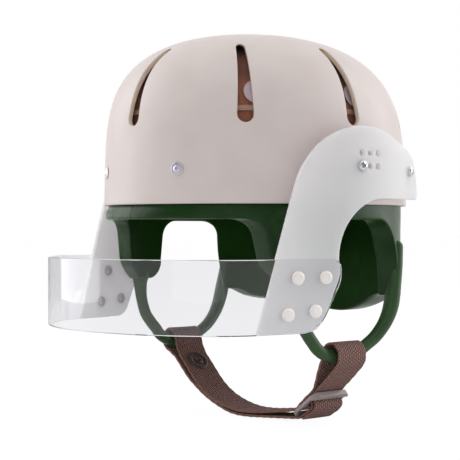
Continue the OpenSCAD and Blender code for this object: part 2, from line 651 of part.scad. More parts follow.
outer_shell();
shell_rivets();
rivet_washers();
foam_liner();
ear_loop_left();
ear_loop_right();
crown_pad();
crown_band();
crown_discs();
bracket_left();
bracket_right();
bracket_spacers();
bracket_screws();
bracket_nuts();
face_bar();
bar_rivets();
bar_rivet_washers();
strap_lower_layer();
strap_upper_layer();
strap_right_turn();
strap_left_turn();
snap_cap();
snap_socket();
snap_stud();
snap_post();
slide_frame();
slide_fold();
strap_tail();
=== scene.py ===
"""Looks of a hard shell helmet with a clear face bar. The front is -Y, the wearer's left is +X and up is +Z.
Lengths below are in millimetres, as in the part's source, and each mesh is written in metres."""
import math

import bmesh
import bpy
import numpy as np
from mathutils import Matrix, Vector
from mathutils.geometry import delaunay_2d_cdt


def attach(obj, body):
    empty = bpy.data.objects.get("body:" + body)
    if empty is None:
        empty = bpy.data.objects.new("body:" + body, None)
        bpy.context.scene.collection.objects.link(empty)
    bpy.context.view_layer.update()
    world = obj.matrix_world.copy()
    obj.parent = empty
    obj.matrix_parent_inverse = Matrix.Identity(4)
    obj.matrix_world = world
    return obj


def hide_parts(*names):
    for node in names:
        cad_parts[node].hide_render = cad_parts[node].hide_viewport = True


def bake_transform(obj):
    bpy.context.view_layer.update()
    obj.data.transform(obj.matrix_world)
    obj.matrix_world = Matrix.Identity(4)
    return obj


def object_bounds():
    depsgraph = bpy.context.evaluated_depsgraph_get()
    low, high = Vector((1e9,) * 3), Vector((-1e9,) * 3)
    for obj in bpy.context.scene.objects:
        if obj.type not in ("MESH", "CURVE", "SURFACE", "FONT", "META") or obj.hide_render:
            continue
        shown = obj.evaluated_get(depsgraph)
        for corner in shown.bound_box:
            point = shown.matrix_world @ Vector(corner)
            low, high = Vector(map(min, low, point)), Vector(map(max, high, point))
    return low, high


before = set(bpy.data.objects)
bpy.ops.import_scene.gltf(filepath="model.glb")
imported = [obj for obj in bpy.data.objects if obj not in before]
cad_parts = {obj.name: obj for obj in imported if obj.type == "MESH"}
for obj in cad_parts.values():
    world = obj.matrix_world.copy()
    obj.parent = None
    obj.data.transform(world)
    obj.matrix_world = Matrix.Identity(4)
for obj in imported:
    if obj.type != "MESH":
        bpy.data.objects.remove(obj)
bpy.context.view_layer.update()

# Sizes shared with the part's source
MM = 0.001
SHELL_W, SHELL_L, SHELL_H, WALL = 200.0, 220.0, 118.0, 3.2
LEAN, DRAFT, POWER, ROUND = 5.4, 0.03, 4.2, 2.33
SLOTS, SLOT_STEP = 8, 45.0
SLOT_LOW, SLOT_HIGH, SLOT_WIDE, SLOT_NARROW = 51.0, 104.0, 10.5, 6.0
SLOT_SHIFT, SLOT_TURN = 2.4, 11.0
RIVET_ANGLES = [22.5 + SLOT_STEP * k for k in (0, 1, 3, 4, 6, 7)]
RIVET_Z = 22.0
IN_FOAM, FOAM, LINER_TOP = WALL + 0.5, 12.7, 46.0
BROW_DROP, TEMPLE_DROP, REAR_ROOT = 9.6, 52.0, 61.0
IN_CROWN, PAD_T = WALL + 4.5, 9.0
LOOP_Y = 1.0
WEB_W, WEB_T = 25.4, 1.5
SHEET_T = 3.0
SPACER, SIDE_LIFT, REAR_TUCK, SPLAY = 4.0, 2.5, 1.0, 0.165
BRACKET_FRONT, BRACKET_TOP, BRACKET_DROP, ARM_LEAN = -86.0, 50.0, 80.0, 0.308
BAR_BEND_Y, BAR_END_Y, BAR_REACH, BAR_FULLNESS = -86.0, -26.0, 147.0, 45.0
BAR_H, BAR_DROP = 46.0, 80.6


def lin(*screen):
    """A colour written as on a screen, 0 to 255, as the shader wants it."""
    shares = [c / 255 for c in screen]
    return (*(c / 12.92 if c <= 0.04045 else ((c + 0.055) / 1.055) ** 2.4 for c in shares), 1.0)


# Node helpers


def plug(tree, socket, value):
    """Links a socket to another one, or sets its value."""
    if isinstance(value, bpy.types.NodeSocket):
        tree.links.new(value, socket)
    else:
        socket.default_value = value


def add(tree, kind, inputs=None, **settings):
    """A new node with its settings and inputs."""
    node = tree.nodes.new(kind)
    for key, value in settings.items():
        setattr(node, key, value)
    for key, value in (inputs or {}).items():
        plug(tree, node.inputs[key], value)
    return node


def maths(tree, operation, first, second=0.0, clamp=False):
    return add(tree, "ShaderNodeMath", {0: first, 1: second}, operation=operation, use_clamp=clamp).outputs[0]


def plus(tree, first, second):
    return maths(tree, "ADD", first, second)


def times(tree, first, second):
    return maths(tree, "MULTIPLY", first, second)


def ripple(tree, value):
    """Round ridges, one for each half turn of the value."""
    return maths(tree, "ABSOLUTE", maths(tree, "SINE", value))


def ramp(tree, value, low, high, first=0.0, second=1.0, **settings):
    """Goes from the first number to the second while the value goes from low to high."""
    inputs = {0: value, 1: low, 2: high, 3: first, 4: second}
    return add(tree, "ShaderNodeMapRange", inputs, **settings).outputs[0]


def noise(tree, place, scale, detail, roughness=0.5):
    inputs = {"Vector": place, "Scale": scale, "Detail": detail, "Roughness": roughness}
    return add(tree, "ShaderNodeTexNoise", inputs).outputs["Fac"]


def along_axis(tree, place, axis):
    return add(tree, "ShaderNodeSeparateXYZ", {0: place}).outputs[axis]


def blend_colour(tree, share, first, second):
    return add(tree, "ShaderNodeMix", {0: share, 6: first, 7: second}, data_type="RGBA").outputs[2]


# Effects that several finishes share


def new_group(name, inputs, outputs):
    """A node group of numbers; an input with no number given is a vector."""
    tree = bpy.data.node_groups.new(name, "ShaderNodeTree")
    for label, value in inputs.items():
        kind = "NodeSocketVector" if value is None else "NodeSocketFloat"
        socket = tree.interface.new_socket(label, in_out="INPUT", socket_type=kind)
        if value is not None:
            socket.default_value = value
    for label in outputs:
        tree.interface.new_socket(label, in_out="OUTPUT", socket_type="NodeSocketFloat")
    return tree, tree.nodes.new("NodeGroupInput").outputs, tree.nodes.new("NodeGroupOutput").inputs


def make_grain():
    """Fine moulded or dipped grain as a height, and slow unevenness as a mask."""
    inputs = {"Vector": None, "Grain Scale": 900.0, "Wave Scale": 40.0, "Wave Share": 0.5}
    tree, given, result = new_group("surface_grain", inputs, ("Height", "Uneven"))
    fine = noise(tree, given["Vector"], given["Grain Scale"], 3.0)
    slow = noise(tree, given["Vector"], given["Wave Scale"], 2.0)
    plug(tree, result["Height"], plus(tree, fine, times(tree, slow, given["Wave Share"])))
    plug(tree, result["Uneven"], ramp(tree, slow, 0.3, 0.7))
    return tree


def make_scuffs():
    """Small scuffs and settled dust: a mask from stretched noise."""
    inputs = {"Vector": None, "Scale": 60.0, "Amount": 0.3}
    tree, given, result = new_group("light_scuffs", inputs, ("Scuffs",))
    stretch = {"Vector": given["Vector"], "Scale": (1.0, 1.0, 0.25)}
    stretched = add(tree, "ShaderNodeMapping", stretch).outputs[0]
    marks = ramp(tree, noise(tree, stretched, given["Scale"], 6.0, 0.7), 0.55, 0.8)
    plug(tree, result["Scuffs"], times(tree, marks, given["Amount"]))
    return tree


def make_weave():
    """Webbing: raised ribs along the strap, crossed by picks that step half a pitch from rib to rib."""
    inputs = {"Vector": None, "Rib Pitch": 0.0018, "Pick Pitch": 0.0021}
    tree, given, result = new_group("webbing_weave", inputs, ("Height", "Gap", "Thread"))
    place = add(tree, "ShaderNodeSeparateXYZ", {0: given["Vector"]}).outputs
    wobble = maths(tree, "SUBTRACT", noise(tree, given["Vector"], 260.0, 2.0), 0.5)
    across = plus(tree, maths(tree, "DIVIDE", place["X"], given["Rib Pitch"]), times(tree, wobble, 0.5))
    half_step = times(tree, maths(tree, "FLOOR", across), 0.5)
    along = plus(tree, maths(tree, "DIVIDE", place["Y"], given["Pick Pitch"]), half_step)
    rib, pick = (ripple(tree, times(tree, way, math.pi)) for way in (across, along))
    height = times(tree, maths(tree, "POWER", rib, 0.6), plus(tree, times(tree, pick, 0.55), 0.45))
    plug(tree, result["Height"], height)
    # Gap and Thread are masks for the painted shade between threads and the painted highlight on thread tops
    plug(tree, result["Gap"], ramp(tree, height, 0.62, 0.2))
    plug(tree, result["Thread"], ramp(tree, height, 0.75, 1.0))
    return tree


def make_dots():
    """Punched or knitted dots in rows, as a height and a mask."""
    tree, given, result = new_group("dotted_cloth", {"Vector": None, "Scale": 420.0}, ("Height", "Dots"))
    inputs = {"Vector": given["Vector"], "Scale": given["Scale"], "Randomness": 0.25}
    spots = ramp(tree, add(tree, "ShaderNodeTexVoronoi", inputs).outputs["Distance"], 0.35, 0.15)
    plug(tree, result["Dots"], spots)
    plug(tree, result["Height"], maths(tree, "SUBTRACT", 1.0, spots))
    return tree


grain, scuffs, weave, dots = make_grain(), make_scuffs(), make_weave(), make_dots()


# Finishes


def new_material(name, **sockets):
    """A material with one Principled shader; its plain numbers go on its own sockets."""
    material = bpy.data.materials.new(name)
    material.use_nodes = True
    tree = material.node_tree
    shader = tree.nodes["Principled BSDF"]
    for key, value in sockets.items():
        shader.inputs[key.replace("_", " ")].default_value = value
    return material, tree, shader


def object_place(tree):
    return add(tree, "ShaderNodeTexCoord").outputs["Object"]


def grouped(tree, group, **inputs):
    node = add(tree, "ShaderNodeGroup", node_tree=group)
    for key, value in inputs.items():
        plug(tree, node.inputs[key.replace("_", " ")], value)
    return node.outputs


def tint(tree, shader, share, first, second):
    plug(tree, shader.inputs["Base Color"], blend_colour(tree, share, first, second))


def gloss(tree, shader, uneven, spread, roughness, marks=None, mark_share=0.5):
    """Roughness that varies with the slow unevenness and rises on the scuffs."""
    rough = plus(tree, times(tree, uneven, spread), roughness)
    if marks is not None:
        rough = maths(tree, "ADD", rough, times(tree, marks["Scuffs"], mark_share), clamp=True)
    plug(tree, shader.inputs["Roughness"], rough)


def bump(tree, shader, height, distance, strength=1.0):
    inputs = {"Height": height, "Distance": distance, "Strength": strength}
    plug(tree, shader.inputs["Normal"], add(tree, "ShaderNodeBump", inputs).outputs[0])


def moulded(name, colour, second, roughness, spread=0.08, grain_scale=900.0, depth=0.04, scuff=0.3,
            **sockets):
    """Moulded plastic or metal: two close tones, a fine grain, and scuffs that change the gloss."""
    material, tree, shader = new_material(name, **sockets)
    place = object_place(tree)
    texture = grouped(tree, grain, Vector=place, Grain_Scale=grain_scale)
    marks = grouped(tree, scuffs, Vector=place, Amount=scuff)
    tint(tree, shader, texture["Uneven"], colour, second)
    gloss(tree, shader, texture["Uneven"], spread, roughness, marks)
    bump(tree, shader, texture["Height"], depth * MM)
    return material


def let_light_through(tree, shader, share, rays=("Is Shadow Ray",)):
    """Lets a share of the light pass a sheet, which a plain shader would stop."""
    path = add(tree, "ShaderNodeLightPath")
    seen = path.outputs[rays[0]]
    for ray in rays[1:]:
        seen = maths(tree, "MAXIMUM", seen, path.outputs[ray])
    passed = add(tree, "ShaderNodeBsdfTransparent", {"Color": (share, share, share, 1.0)})
    both = add(tree, "ShaderNodeMixShader", {0: seen, 1: shader.outputs[0], 2: passed.outputs[0]})
    plug(tree, tree.nodes["Material Output"].inputs["Surface"], both.outputs[0])


def dipped_foam(name, colour, second, level, roughness, sheen=0.0):
    """Green dipped coating: slow waves, small pits, and the seam in the middle of the brow band."""
    material, tree, shader = new_material(name, Specular_IOR_Level=level, Sheen_Weight=sheen,
                                          Sheen_Roughness=0.3, Sheen_Tint=lin(150, 205, 130))
    place = object_place(tree)
    texture = grouped(tree, grain, Vector=place, Grain_Scale=420.0, Wave_Scale=40.0, Wave_Share=0.6)
    tint(tree, shader, texture["Uneven"], colour, second)
    marks = grouped(tree, scuffs, Vector=place, Amount=0.08)
    gloss(tree, shader, texture["Uneven"], 0.12, roughness, marks, 0.4)
    cells = add(tree, "ShaderNodeTexVoronoi", {"Vector": place, "Scale": 24.0})
    pits = ramp(tree, cells.outputs["Distance"], 0.03, 0.07, interpolation_type="SMOOTHSTEP")
    off_middle = maths(tree, "ABSOLUTE", along_axis(tree, place, "X"))
    behind = maths(tree, "GREATER_THAN", along_axis(tree, place, "Y"), 0.0)
    seam = maths(tree, "MAXIMUM", ramp(tree, off_middle, 0.0003, 0.0009), behind)
    height = plus(tree, times(tree, texture["Height"], 0.03), maths(tree, "MINIMUM", pits, seam))
    bump(tree, shader, height, 0.0006)
    return material


def milky():
    """Milky sheet: light sinks in and spreads, and some of it passes to what lies behind."""
    material, tree, shader = new_material(
        "milky_sheet", Subsurface_Weight=0.9, Subsurface_Radius=(0.014, 0.013, 0.0135), Subsurface_Scale=1.0,
        Transmission_Weight=0.15, IOR=1.45)
    texture = grouped(tree, grain, Vector=object_place(tree), Grain_Scale=300.0)
    tint(tree, shader, texture["Uneven"], lin(253, 249, 254), lin(250, 246, 251))
    gloss(tree, shader, texture["Uneven"], 0.05, 0.36)
    bump(tree, shader, texture["Height"], 0.00001)
    let_light_through(tree, shader, 0.75)
    return material


def clear_sheet():
    """Clear sheet with a faint tint and hairline scuffs."""
    material, tree, shader = new_material(
        "clear_sheet", IOR=1.49, Specular_IOR_Level=0.15, Transmission_Weight=1.0,
        Base_Color=lin(236, 236, 239))
    marks = grouped(tree, scuffs, Vector=object_place(tree), Scale=35.0, Amount=0.10)
    gloss(tree, shader, marks["Scuffs"], 0.5, 0.01)
    let_light_through(tree, shader, 1.0, ("Is Shadow Ray", "Is Diffuse Ray"))
    return material


def webbing():
    """Brown webbing on the strap's own map: x runs across and y along, in metres."""
    material, tree, shader = new_material("webbing", Roughness=0.85, Sheen_Weight=0.25, Sheen_Roughness=0.5,
                                          Specular_IOR_Level=0.2, Sheen_Tint=lin(180, 150, 142))
    uv = add(tree, "ShaderNodeUVMap", uv_map="strap").outputs[0]
    cloth = grouped(tree, weave, Vector=uv)
    yarn = blend_colour(tree, noise(tree, uv, 120.0, 2.0), lin(119, 89, 83), lin(144, 110, 103))
    # Painted highlight on the thread tops
    lit = blend_colour(tree, times(tree, cloth["Thread"], 0.75), yarn, lin(176, 141, 132))
    # Painted shade in the gaps between threads
    gap_shaded_colour = blend_colour(tree, cloth["Gap"], lit, lin(60, 42, 40))
    # A painted highlight line along both edges of the webbing
    off_middle = maths(tree, "ABSOLUTE", maths(tree, "SUBTRACT", along_axis(tree, uv, "X"), WEB_W * MM / 2))
    painted_edge_highlight = ramp(tree, off_middle, 0.0121, 0.0127)
    tint(tree, shader, times(tree, painted_edge_highlight, 0.6), gap_shaded_colour, lin(160, 118, 102))
    fuzz = times(tree, noise(tree, uv, 1500.0, 3.0), 0.35)
    bump(tree, shader, plus(tree, cloth["Height"], fuzz), 0.0006, 0.9)
    return material


def crown_cloth():
    """Brown padded cloth with fine dots, darker towards the top."""
    material, tree, shader = new_material(
        "crown_cloth", Roughness=0.8, Sheen_Weight=0.25, Sheen_Roughness=0.6)
    place = object_place(tree)
    cloth = grouped(tree, dots, Vector=place, Scale=520.0)
    top = ramp(tree, along_axis(tree, place, "Z"), 0.076, 0.084)
    tone = blend_colour(tree, top, lin(160, 98, 72), lin(116, 66, 48))
    tint(tree, shader, times(tree, cloth["Dots"], 0.45), tone, lin(92, 56, 42))
    bump(tree, shader, cloth["Height"], 0.0003, 0.7)
    return material


def ribbed_tape():
    """Tan tape with level ribs."""
    material, tree, shader = new_material("ribbed_tape", Roughness=0.85, Sheen_Weight=0.2)
    rib = ripple(tree, times(tree, along_axis(tree, object_place(tree), "Z"), 3600.0))
    tint(tree, shader, rib, lin(150, 112, 92), lin(204, 172, 150))
    bump(tree, shader, rib, 0.0003, 0.7)
    return material


def loop_pile():
    """Pale pile of a hook-and-loop disc."""
    material, tree, shader = new_material("loop_pile", Roughness=0.9, Sheen_Weight=0.5)
    tufts = noise(tree, object_place(tree), 1600.0, 4.0)
    tint(tree, shader, tufts, lin(170, 150, 160), lin(232, 220, 228))
    bump(tree, shader, tufts, 0.0005, 0.8)
    return material


shell_plastic = moulded("shell_plastic", lin(222, 211, 207), lin(217, 205, 201), 0.38, spread=0.06,
                        grain_scale=1400.0, depth=0.02, scuff=0.12)
shell_cut = moulded("shell_cut", lin(240, 213, 194), lin(232, 204, 184), 0.6, Subsurface_Weight=0.4)
rivet_nickel = moulded("rivet_nickel", lin(228, 224, 238), lin(214, 210, 226), 0.25, spread=0.12,
                       grain_scale=1500.0, depth=0.02, scuff=0.4, Metallic=0.85)
screw_steel = moulded("screw_steel", lin(235, 234, 236), lin(215, 215, 220), 0.20, spread=0.10,
                      grain_scale=1500.0, depth=0.02, scuff=0.3, Metallic=0.9)
# A dark finish for the floor of the screws' cross recess: painted shade
recess_painted_shade = moulded("recess_painted_shade", lin(38, 70, 82), lin(30, 58, 70), 0.5)
washer_milk = moulded("washer_milk", lin(226, 212, 214), lin(220, 205, 208), 0.5, Subsurface_Weight=0.5)
ivory_plastic = moulded("ivory_plastic", lin(250, 246, 243), lin(244, 238, 234), 0.16, grain_scale=1200.0,
                        depth=0.02, scuff=0.2, Coat_Weight=0.5)
dark_brass = moulded("dark_brass", lin(96, 80, 75), lin(74, 61, 57), 0.34, spread=0.15, grain_scale=1200.0,
                     depth=0.03, scuff=0.6, Metallic=0.45)
slide_plastic = moulded("slide_plastic", lin(162, 148, 148), lin(146, 132, 132), 0.26, spread=0.10,
                        grain_scale=700.0, scuff=0.4)
dipped_vinyl = dipped_foam("dipped_vinyl", lin(22, 60, 14), lin(16, 48, 10), level=0.24, roughness=0.24,
                           sheen=0.22)
# The ear loops' dipped vinyl has a lighter, greyer base than the liner's: painted sheen for the broad soft
# shine along the loops
loop_vinyl_painted_sheen = dipped_foam("loop_vinyl_painted_sheen", lin(57, 85, 52), lin(49, 75, 45), level=0.24, roughness=0.30,
                         sheen=0.25)
dull_vinyl = dipped_foam("dull_vinyl", lin(28, 66, 18), lin(22, 56, 14), level=0.05, roughness=0.5)
milky_sheet, clear_plastic, brown_webbing = milky(), clear_sheet(), webbing()
padded_cloth, tan_tape, pale_pile = crown_cloth(), ribbed_tape(), loop_pile()


# Mesh helpers


def unit(vectors):
    return vectors / np.linalg.norm(vectors, axis=-1, keepdims=True)


def shade(obj, sharp=0.0):
    """Smooth shading, but for edges where faces meet at more than this many degrees."""
    obj.data.polygons.foreach_set("use_smooth", [True] * len(obj.data.polygons))
    if sharp:
        obj.data.set_sharp_from_angle(angle=math.radians(sharp))
    return obj


def new_object(name, data):
    obj = bpy.data.objects.new(name, data)
    bpy.context.scene.collection.objects.link(obj)
    return obj


def mesh_object(name, points, faces, material, sharp=35.0):
    """A mesh from points in millimetres."""
    mesh = bpy.data.meshes.new(name)
    mesh.from_pydata((np.asarray(points, float) * MM).tolist(), [], [list(map(int, f)) for f in faces])
    mesh.validate()
    mesh.update()
    mesh.materials.append(material)
    return shade(new_object(name, mesh), sharp)


def fit_piece(obj, body, node):
    """Puts a finished piece on its body, in the place of a CAD node."""
    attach(obj, body)
    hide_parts(node)


def apply_modifiers(obj):
    graph = bpy.context.evaluated_depsgraph_get()
    graph.update()
    mesh = bpy.data.meshes.new_from_object(obj.evaluated_get(graph), depsgraph=graph)
    obj.modifiers.clear()
    old, obj.data = obj.data, mesh
    bpy.data.meshes.remove(old)


def turn_out(obj):
    """Points every face of a closed mesh outwards."""
    work = bmesh.new()
    work.from_mesh(obj.data)
    bmesh.ops.remove_doubles(work, verts=work.verts, dist=1e-7)
    bmesh.ops.recalc_face_normals(work, faces=work.faces)
    work.to_mesh(obj.data)
    work.free()
    obj.data.update()
    return obj


def cut_away(target, cutter):
    step = target.modifiers.new("cut", "BOOLEAN")
    step.object, step.operation, step.solver = cutter, "DIFFERENCE", "EXACT"
    apply_modifiers(target)
    bpy.data.objects.remove(cutter, do_unlink=True)


def rounded(corners, steps=8):
    """An outline from corners (x, y, radius), each an arc that touches both its sides."""
    out = []
    count = len(corners)
    for i, (x, y, radius) in enumerate(corners):
        at = np.array([x, y], float)
        if radius == 0:
            out.append(at)
            continue
        back = unit(np.array(corners[i - 1][:2], float) - at)
        ahead = unit(np.array(corners[(i + 1) % count][:2], float) - at)
        half = math.acos(float(np.clip(back @ ahead, -1, 1))) / 2
        middle = at + unit(back + ahead) * radius / math.sin(half)
        first = at + back * radius / math.tan(half) - middle
        final = at + ahead * radius / math.tan(half) - middle
        start = math.atan2(first[1], first[0])
        turn = (math.atan2(final[1], final[0]) - start + 3 * math.pi) % (2 * math.pi) - math.pi
        for angle in start + turn * np.arange(steps + 1) / steps:
            out.append(middle + radius * np.array([math.cos(angle), math.sin(angle)]))
    return np.array(out)


def ring_faces(first, second, count, closed=True):
    """Quads between two rows of points that start at these numbers."""
    last = count if closed else count - 1
    return [(first + k, first + (k + 1) % count, second + (k + 1) % count, second + k) for k in range(last)]


def row_faces(rows, count, start=0, closed=True):
    """Quads between each row of points and the next one."""
    numbers = [start + i * count for i in range(rows)]
    return [face for a, b in zip(numbers, numbers[1:]) for face in ring_faces(a, b, count, closed)]


def flipped(faces):
    return [face[::-1] for face in faces]


def moved_line(line, before, after, amount):
    """A line moved to its left by an even amount; before and after hold each point's neighbours."""
    first, second = line - before, after - line
    first /= np.maximum(np.linalg.norm(first, axis=1, keepdims=True), 1e-9)
    second /= np.maximum(np.linalg.norm(second, axis=1, keepdims=True), 1e-9)
    left = np.stack([-(first + second)[:, 1], (first + second)[:, 0]], -1)
    left /= np.maximum(np.linalg.norm(left, axis=1, keepdims=True), 1e-9)
    cosine = np.maximum(0.5, (left * np.stack([-first[:, 1], first[:, 0]], -1)).sum(axis=1))
    return line + left * (amount / cosine)[:, None]


def inside(points, outline):
    """Which points lie inside a closed outline."""
    result = np.zeros(len(points), bool)
    x, y = points[:, 0], points[:, 1]
    for (x1, y1), (x2, y2) in zip(outline, np.roll(outline, -1, axis=0)):
        if y1 != y2:
            result ^= ((y1 > y) != (y2 > y)) & (x < (x2 - x1) * (y - y1) / (y2 - y1) + x1)
    return result


def distance_to(points, outline):
    """How far each point lies from the nearest side of a closed outline."""
    nearest = np.full(len(points), 1e9)
    for a, b in zip(outline, np.roll(outline, -1, axis=0)):
        span = b - a
        share = np.clip(((points - a) @ span) / max(1e-12, span @ span), 0, 1)
        nearest = np.minimum(nearest, np.linalg.norm(points - a - share[:, None] * span, axis=1))
    return nearest


def triangulate(flat, sizes, tolerance=1e-7):
    """Triangles over flat points, which begin with closed outlines of these sizes."""
    edges, base = [], 0
    for size in sizes:
        edges += [(base + k, base + (k + 1) % size) for k in range(size)]
        base += size
    _, _, triangles, source, _, _ = delaunay_2d_cdt([Vector(p) for p in flat], edges, [], 1, tolerance)
    numbers = [s[0] for s in source]
    return np.array([[numbers[i] for i in t] for t in triangles])


# The dome


def dome_scale(t):
    t = np.clip(t, 0, 1)
    return (1 - DRAFT * t) * (1 - t ** POWER) ** (1 / ROUND)


def dome(inset, angle, z):
    """Points on the dome layer that lies inset inside the shell's face; angles in degrees, 0 at the front."""
    a, z = np.broadcast_arrays(np.radians(np.asarray(angle, float)), np.asarray(z, float))
    inset = np.asarray(inset, float)
    t = np.clip(z, 0, None) / (SHELL_H - inset)
    r = dome_scale(t)
    x = (SHELL_W / 2 - inset) * r * np.sin(a)
    y = -(SHELL_L / 2 - inset) * r * np.cos(a) - LEAN * t * t
    return np.stack([x, y, z + 0 * r], -1)


def level_out(angle, inset=0.0):
    """The level way out of a dome layer at a plan angle in degrees."""
    a = math.radians(angle)
    return unit(np.array([math.sin(a) / (SHELL_W / 2 - inset), -math.cos(a) / (SHELL_L / 2 - inset), 0]))


class Meridian:
    """Maps a flat disc on a dome layer, its middle on the crown and its edge on the rim."""

    def __init__(self, inset):
        phi = (np.linspace(0, 1, 900) ** 2) * math.pi / 2
        t = np.sin(phi) ** (2 / POWER)
        t[-1] = 1
        points = np.stack([(SHELL_W + SHELL_L) / 4 * dome_scale(t), (SHELL_H - inset) * t], -1)
        run = np.concatenate([[0], np.cumsum(np.linalg.norm(np.diff(points, axis=0), axis=1))])
        self.length = (run[-1] - run)[::-1]
        self.z = ((SHELL_H - inset) * t)[::-1]

    def flat(self, angle, z):
        length = np.interp(-np.asarray(z, float), -self.z, self.length)
        a = np.radians(angle)
        return np.stack([length * np.sin(a), length * np.cos(a)], -1)

    def lift(self, flat):
        z = np.interp(np.linalg.norm(flat, axis=-1), self.length, self.z)
        return np.degrees(np.arctan2(flat[..., 0], flat[..., 1])), z


# The shell

LOW_END, HIGH_END = SLOT_LOW + SLOT_WIDE / 2, SLOT_HIGH - SLOT_NARROW / 2


def slot_outline(grow, arc=12, side=22):
    """Outline of a vent slot, grown outwards, as (across, height), with as many points at every size."""
    r_low, r_high = SLOT_WIDE / 2 + grow, SLOT_NARROW / 2 + grow
    below = np.linspace(math.pi, 2 * math.pi, arc + 1)
    points = [(r_low * math.cos(a), LOW_END + r_low * math.sin(a)) for a in below]
    right = [(r_low + (r_high - r_low) * s, LOW_END + (HIGH_END - LOW_END) * s)
             for s in np.linspace(0, 1, side + 1)[1:-1]]
    top = [(r_high * math.cos(a), HIGH_END + r_high * math.sin(a)) for a in np.linspace(0, math.pi, arc + 1)]
    left = [(-x, y) for x, y in right[::-1]]
    return np.array(points + right + top + left)


def slot_frame(k):
    """A slot's middle on the shell's face and the level way across it."""
    twice = math.sin(math.radians(2 * SLOT_STEP * k))
    middle = dome(0, SLOT_STEP * k + SLOT_SHIFT * twice, (SLOT_LOW + SLOT_HIGH) / 2)
    out = math.radians(SLOT_STEP * k + SLOT_TURN * twice - 90)
    return middle, np.array([-math.sin(out), math.cos(out)])


def in_slot(k, inset, angle, z, grow):
    """Which places on a dome layer lie in a slot that is grown outwards."""
    middle, side = slot_frame(k)
    near = np.abs((angle - SLOT_STEP * k + 180) % 360 - 180) < 40
    across = (dome(inset, angle, z)[:, :2] - middle[:2]) @ side
    s = np.clip((z - LOW_END) / (HIGH_END - LOW_END), 0, 1)
    radius = SLOT_WIDE / 2 + (SLOT_NARROW - SLOT_WIDE) / 2 * s + grow
    return near & (across ** 2 + (z - LOW_END - s * (HIGH_END - LOW_END)) ** 2 < radius ** 2)


def slot_angles(k, inset, outline):
    """The plan angle of each outline point on a dome layer, found by halving."""
    middle, side = slot_frame(k)
    low = np.full(len(outline), SLOT_STEP * k - 30)
    high = low + 60
    for _ in range(40):
        test = (low + high) / 2
        short = (dome(inset, test, outline[:, 1])[:, :2] - middle[:2]) @ side < outline[:, 0]
        low, high = np.where(short, test, low), np.where(short, high, test)
    return (low + high) / 2


RIM_COUNT = 288
RIM_STEPS = np.arange(RIM_COUNT) * 360 / RIM_COUNT
RIM_Z = 1.2


def dome_face(inset, grow, rows=46, spacing=5.25):
    """One face of the shell with its slots: points, triangles, and the number of points round a slot."""
    disc = Meridian(inset)
    outline = slot_outline(grow)
    size = len(outline)
    rim = disc.flat(RIM_STEPS, RIM_Z)
    loops = [disc.flat(slot_angles(k, inset, outline), outline[:, 1]) for k in range(SLOTS)]
    inner = [np.zeros((1, 2))]
    for i in range(1, rows):
        length = np.linalg.norm(rim[0]) * i / rows
        count = max(8, int(round(length * 2 * math.pi / spacing)))
        a = (np.arange(count) + 0.5 * (i % 2)) * 2 * math.pi / count
        inner.append(np.stack([length * np.sin(a), length * np.cos(a)], -1))
    inner = np.concatenate(inner)
    angle, z = disc.lift(inner)
    keep = np.ones(len(inner), bool)
    for k in range(SLOTS):
        keep &= ~in_slot(k, inset, angle, z, grow + 1.3)
    flat = np.concatenate([rim] + loops + [inner[keep]])
    triangles = triangulate(flat, [RIM_COUNT] + [size] * SLOTS, 1e-6)
    middle_angle, middle_z = disc.lift(flat[triangles].mean(axis=1))
    keep = np.ones(len(triangles), bool)
    for k in range(SLOTS):
        owned = (triangles >= RIM_COUNT + k * size) & (triangles < RIM_COUNT + (k + 1) * size)
        keep &= ~(owned.all(axis=1) & in_slot(k, inset, middle_angle, middle_z, grow))
    angle, z = disc.lift(flat)
    z[:RIM_COUNT] = RIM_Z
    z[RIM_COUNT:RIM_COUNT + SLOTS * size] = np.tile(outline[:, 1], SLOTS)
    return dome(inset, angle, z), triangles[keep], size


def make_shell():
    """The moulded shell: outer and inner faces, rounded slot lips and a rounded rim."""
    outer, out_triangles, size = dome_face(0.0, 1.1)
    inner, in_triangles, _ = dome_face(WALL, 0.8)
    points = [outer, inner]
    faces = [tuple(t) for t in out_triangles] + [tuple(t[::-1] + len(outer)) for t in in_triangles]
    total = len(outer) + len(inner)
    # Slot lips as (outwards from the slot, below the outer face), rounded at both faces
    lips = [(0.75, 0.01), (0.42, 0.06), (0.18, 0.2), (0.03, 0.45), (0.0, 0.75), (0.0, WALL - 0.7),
            (0.03, WALL - 0.4), (0.16, WALL - 0.16), (0.42, WALL - 0.03)]
    wall = []
    for k in range(SLOTS):
        rim = RIM_COUNT + k * size
        wall += range(len(faces) + 5 * size, len(faces) + (len(lips) + 1) * size)
        for grow, depth in lips:
            outline = slot_outline(grow)
            points.append(dome(depth, slot_angles(k, depth, outline), outline[:, 1]))
        faces += flipped(ring_faces(rim, total, size) + row_faces(len(lips), size, total))
        total += len(lips) * size
        faces += flipped(ring_faces(total - size, len(outer) + rim, size))
    # The rim as (inwards, height), from the outer face under the edge to the inner face
    edge = [(0.04, 0.75), (0.18, 0.36), (0.45, 0.12), (0.85, 0.0)]
    edge += [(WALL - depth, z) for depth, z in edge[::-1]]
    for depth, z in edge:
        ring = dome(0.0, RIM_STEPS, 0.0)
        ring[:, :2] *= [1 - depth / (SHELL_W / 2), 1 - depth / (SHELL_L / 2)]
        ring[:, 2] = z
        points.append(ring)
    faces += ring_faces(0, total, RIM_COUNT) + row_faces(len(edge), RIM_COUNT, total)
    faces += ring_faces(total + (len(edge) - 1) * RIM_COUNT, len(outer), RIM_COUNT)
    shell = shade(turn_out(mesh_object("helmet_shell", np.concatenate(points), faces, shell_plastic)))
    shell.data.materials.append(shell_cut)
    for k in wall:
        shell.data.polygons[k].material_index = 1
    fit_piece(shell, "helmet", "outer_shell")


# The liner

